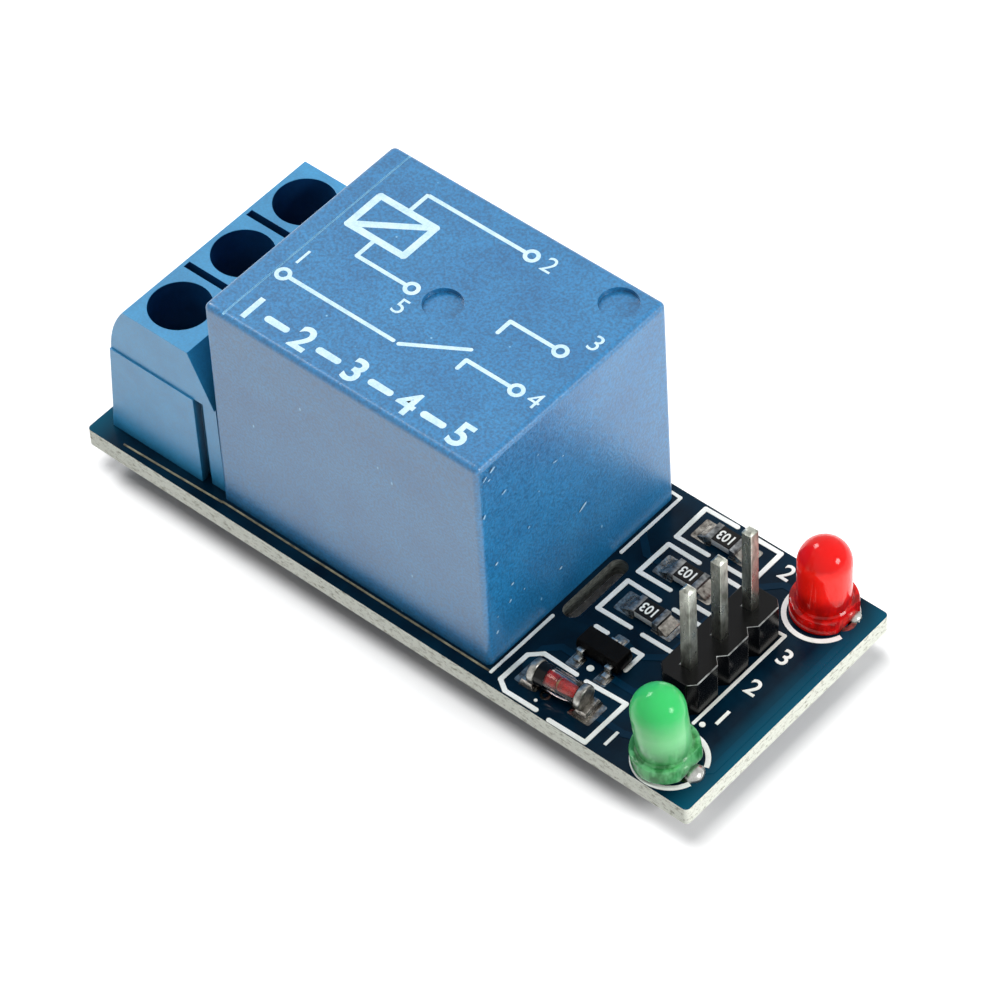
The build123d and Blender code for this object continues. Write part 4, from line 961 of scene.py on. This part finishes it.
def makeLens(name, node, look):
    s = lampShape
    shape = bmesh.new()
    outline = [(0, 0), (s["flange"] - s["foot"], 0), (s["flange"], s["foot"]),
               (s["flange"], s["flangeHeight"] - s["lip"]),
               (s["flange"] - s["lip"] * 0.3, s["flangeHeight"] - s["lip"] * 0.3),
               (s["flange"] - s["lip"], s["flangeHeight"]),
               (s["radius"] + s["neck"], s["flangeHeight"]), (s["radius"], s["flangeHeight"] + s["neck"]),
               (s["radius"], s["barrel"])]
    for step in range(1, s["domeSteps"] + 1):
        angle = pi / 2 * step / s["domeSteps"]
        outline.append((s["radius"] * cos(angle), s["barrel"] + s["radius"] * sin(angle)))
    verts = [shape.verts.new((r, 0, z)) for r, z in outline]
    edges = [shape.edges.new(pair) for pair in zip(verts[:-1], verts[1:])]
    bmesh.ops.spin(shape, geom=verts + edges, cent=(0, 0, 0), axis=(0, 0, 1), angle=2 * pi,
                   steps=s["steps"], use_merge=True)
    bmesh.ops.remove_doubles(shape, verts=shape.verts, dist=weld)
    bmesh.ops.contextual_create(shape, geom=cutAway(shape, (s["flat"], 0, 0), (1, 0, 0)))
    bmesh.ops.recalc_face_normals(shape, faces=shape.faces)
    bmesh.ops.transform(shape, verts=shape.verts, matrix=lampPlace(look))
    newPiece(name, shape, [lampFinish(name + "Epoxy", look)], smoothTo=35,
             standsFor=[node])


def makeLampSolder(name, spots):
    # A bright bead of solder at the flat side of each lamp
    shape = bmesh.new()
    for x, y, radius, height in spots:
        place = Matrix.Translation((x * mm, y * mm, boardTop)) @ Matrix.Diagonal((
            radius * mm, radius * beadLook["stretch"] * mm, height * mm, 1))
        bmesh.ops.create_uvsphere(shape, u_segments=32, v_segments=16, radius=1.0, matrix=place)
    bmesh.ops.holes_fill(shape, edges=cutAway(shape, (0, 0, boardTop - beadLook["sunk"]), (0, 0, -1)))
    bmesh.ops.recalc_face_normals(shape, faces=shape.faces)
    newPiece(name, shape, [brightTin], smoothTo=60)


makeLampSolder("lampSolder", lampBeads)
makeLens("greenLens", "green_led_lens", greenLamp)
makeLens("redLens", "red_led_lens", redLamp)
for colour in ("green", "red"):
    for part, material in (("anode", brightTin), ("cathode", brightTin), ("die", chipCrystal)):
        paintNode(f"{colour}_led_{part}", material)
print("lamps done")

# Chip resistors

resistorLook = {
    "chipRounding": 0.01 * mm, "rounding": 0.03 * mm,
    "figure": 0.92 * mm, "figureHeight": 0.012 * mm, "figureSunk": 0.002 * mm, "squeeze": 0.8,
    "weight": 0.018, "code": "103",
}


def makeResistor(number, look):
    for part, material, rounding, slotName in (
            ("chip", whiteAlumina, look["chipRounding"], "alumina"),
            ("coat", resistorGlaze, look["rounding"], "resistor_glaze"),
            ("ends", dippedTin, look["rounding"], "tin_ends")):
        softCopy(f"resistor_{number}_{part}", f"resistor{part.capitalize()}{number}", material, rounding)
    low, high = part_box(f"resistor_{number}_coat")
    shape = bmesh.new()
    addFigure(shape, look["code"], look["figure"], (low + high) / 2, high.z - look["figureSunk"],
              look["figureHeight"], turn=pi, squeeze=look["squeeze"], weight=look["weight"])
    newPiece(f"resistorCode{number}", shape, [whiteInk])


for number in (1, 2, 3):
    makeResistor(number, resistorLook)
print("resistors done")

# Glass diode, transistor and solder

diodeLook = {
    "band": 0.62 * mm, "bandRadius": 0.686 * mm, "bandThickness": 0.01 * mm, "half": 1.3 * mm, "turn": 3.5,
    "glassRounding": 0.04 * mm, "plugRounding": 0.08 * mm, "capRounding": 0.12 * mm,
    "glassWave": 0.6 * mm, "glassDepth": 0.003 * mm,
}
transistorLook = {"rounding": 0.06 * mm, "leadRounding": 0.02 * mm}
solderLook = {"rounding": 0.04 * mm, "diodeRounding": 0.09 * mm}


def glassFinish(look):
    material, tree, shader = startMaterial("clearGlass", {
        "Base Color": screenColour(250, 226, 218), "Roughness": 0.04, "IOR": 1.36,
        "Transmission Weight": 1.0})
    addBump(tree, shader, cloud(tree, pointInPiece(tree), look["glassWave"], 2.0), look["glassDepth"])
    return material


clearGlass = glassFinish(diodeLook)
softCopy("diode_glass", "diodeSleeve", clearGlass, diodeLook["glassRounding"])
softCopy("diode_plugs", "diodePlugs", plugCopper, diodeLook["plugRounding"])
softCopy("diode_caps", "diodeCaps", capTin, diodeLook["capRounding"], steps=3)
paintNode("diode_die", chipCrystal)


def makeDiodeBand(look):
    centre = sum(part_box("diode_glass"), Vector()) / 2
    turn = radians(look["turn"])
    along = Vector((cos(turn), sin(turn), 0))
    start = centre - along * (look["half"] - look["band"] / 2)
    shape = bmesh.new()
    place = Matrix.Translation(start) @ Matrix.Rotation(turn, 4, "Z") @ Matrix.Rotation(pi / 2, 4, "Y")
    bmesh.ops.create_cone(shape, cap_ends=False, segments=48, radius1=look["bandRadius"],
                          radius2=look["bandRadius"], depth=look["band"], matrix=place)
    bmesh.ops.solidify(shape, geom=shape.faces[:], thickness=look["bandThickness"])
    bmesh.ops.recalc_face_normals(shape, faces=shape.faces)
    newPiece("diodeBand", shape, [blackPlastic])


makeDiodeBand(diodeLook)
softCopy("transistor_body", "transistorBody", blackEpoxy, transistorLook["rounding"])
softCopy("transistor_leads", "transistorLeads", brightTin, transistorLook["leadRounding"])
softCopy("surface_solder", "faceSolder", solderTin, solderLook["rounding"], steps=3, smoothTo=60)
softCopy("diode_solder", "diodeSolder", solderTin, solderLook["diodeRounding"], steps=3,
         smoothTo=60)
softCopy("solder_joints", "solderCones", jointTin, solderLook["rounding"], smoothTo=50)
print("small parts done")

# Studio: pale floor, a bright room, and four soft lights on the line of the board

studioLook = {
    "floorSize": 3.0, "floorShade": 0.65, "floorInGloss": 1.33, "floorSeen": 1.15,
    "roomLight": 0.2, "roomInGloss": 0.9, "roomSeen": 1.0,
    "boxes": [  # name, direction, distance, width, light on the part, and whether its glare shows
        ("leftBox", (-0.70, 0.11, 0.72), 1.2, 0.4, 0.36, True),
        ("rightBox", (0.86, 0.22, 0.45), 1.2, 0.4, 0.42, True),
        ("rightWide", (0.95, 0.0, 0.32), 1.2, 0.7, 0.45, False),
        ("topWide", (-0.14, -0.1, 0.98), 1.2, 0.7, 0.6, False),
    ],
}


def levelByRay(tree, plain, inGloss, seen):
    # One level lights the part, one shows in its gloss, and one is what the camera sees
    path = addNode(tree, "ShaderNodeLightPath")
    level = blendColours(tree, path.outputs["Is Glossy Ray"], grey(plain), grey(inGloss))
    return blendColours(tree, path.outputs["Is Camera Ray"], level, grey(seen))


def makeFloor(look):
    shape = bmesh.new()
    bmesh.ops.create_grid(shape, x_segments=1, y_segments=1, size=look["floorSize"] / 2)
    mesh = bpy.data.meshes.new("floor")
    shape.to_mesh(mesh)
    shape.free()
    material, tree, shader = startMaterial("paleFloor", {"Roughness": 0.9, "Specular IOR Level": 0.1})
    feed(shader, "Base Color", levelByRay(tree, look["floorShade"], look["floorInGloss"], look["floorSeen"]))
    mesh.materials.append(material)
    placeInScene("floor", mesh)


def makeRoom(look):
    world = bpy.data.worlds.new("brightRoom")
    bpy.context.scene.world = world
    world.use_nodes = True
    tree = world.node_tree
    feed(tree.nodes["Background"], "Color",
         levelByRay(tree, look["roomLight"], look["roomInGloss"], look["roomSeen"]))


def makeSoftBox(name, direction, distance, size, share, glare):
    lamp = bpy.data.lights.new(name, "AREA")
    lamp.shape = "DISK"
    lamp.size = size
    lamp.energy = share * (pi * distance) ** 2
    holder = placeInScene(name, lamp)
    holder.visible_glossy = glare
    away = Vector(direction).normalized()
    holder.location = away * distance
    holder.rotation_mode = "QUATERNION"
    holder.rotation_quaternion = away.to_track_quat("Z", "Y")


makeFloor(studioLook)
makeRoom(studioLook)
for box in studioLook["boxes"]:
    makeSoftBox(*box)

# Camera at the photograph's angle

cameraLook = {
    "aim": (0.337, 1.3217, 3.7473),  # the point at the middle of the picture, in millimetres
    "azimuth": 43.267, "elevation": 48.491, "roll": -3.533, "distance": 273.507, "lens": 181.753,
    "sensor": 36, "near": 0.01, "far": 10,
}


def makeCamera(look):
    turn, rise, roll = (radians(look[name]) for name in ("azimuth", "elevation", "roll"))
    back = Vector((sin(turn) * cos(rise), -cos(turn) * cos(rise), sin(rise)))
    flat = Vector((cos(turn), sin(turn), 0))
    up = back.cross(flat)
    right = cos(roll) * flat + sin(roll) * up
    top = -sin(roll) * flat + cos(roll) * up
    lens = bpy.data.cameras.new("camera")
    lens.lens = look["lens"]
    lens.sensor_width = look["sensor"]
    lens.clip_start = look["near"]
    lens.clip_end = look["far"]
    holder = placeInScene("camera", lens)
    place = Matrix((right, top, back)).transposed().to_4x4()
    place.translation = (Vector(look["aim"]) + back * look["distance"]) * mm
    holder.matrix_world = place
    bpy.context.scene.camera = holder


makeCamera(cameraLook)
bpy.context.scene.view_settings.view_transform = "Standard"
print("studio done")

bpy.context.view_layer.update()
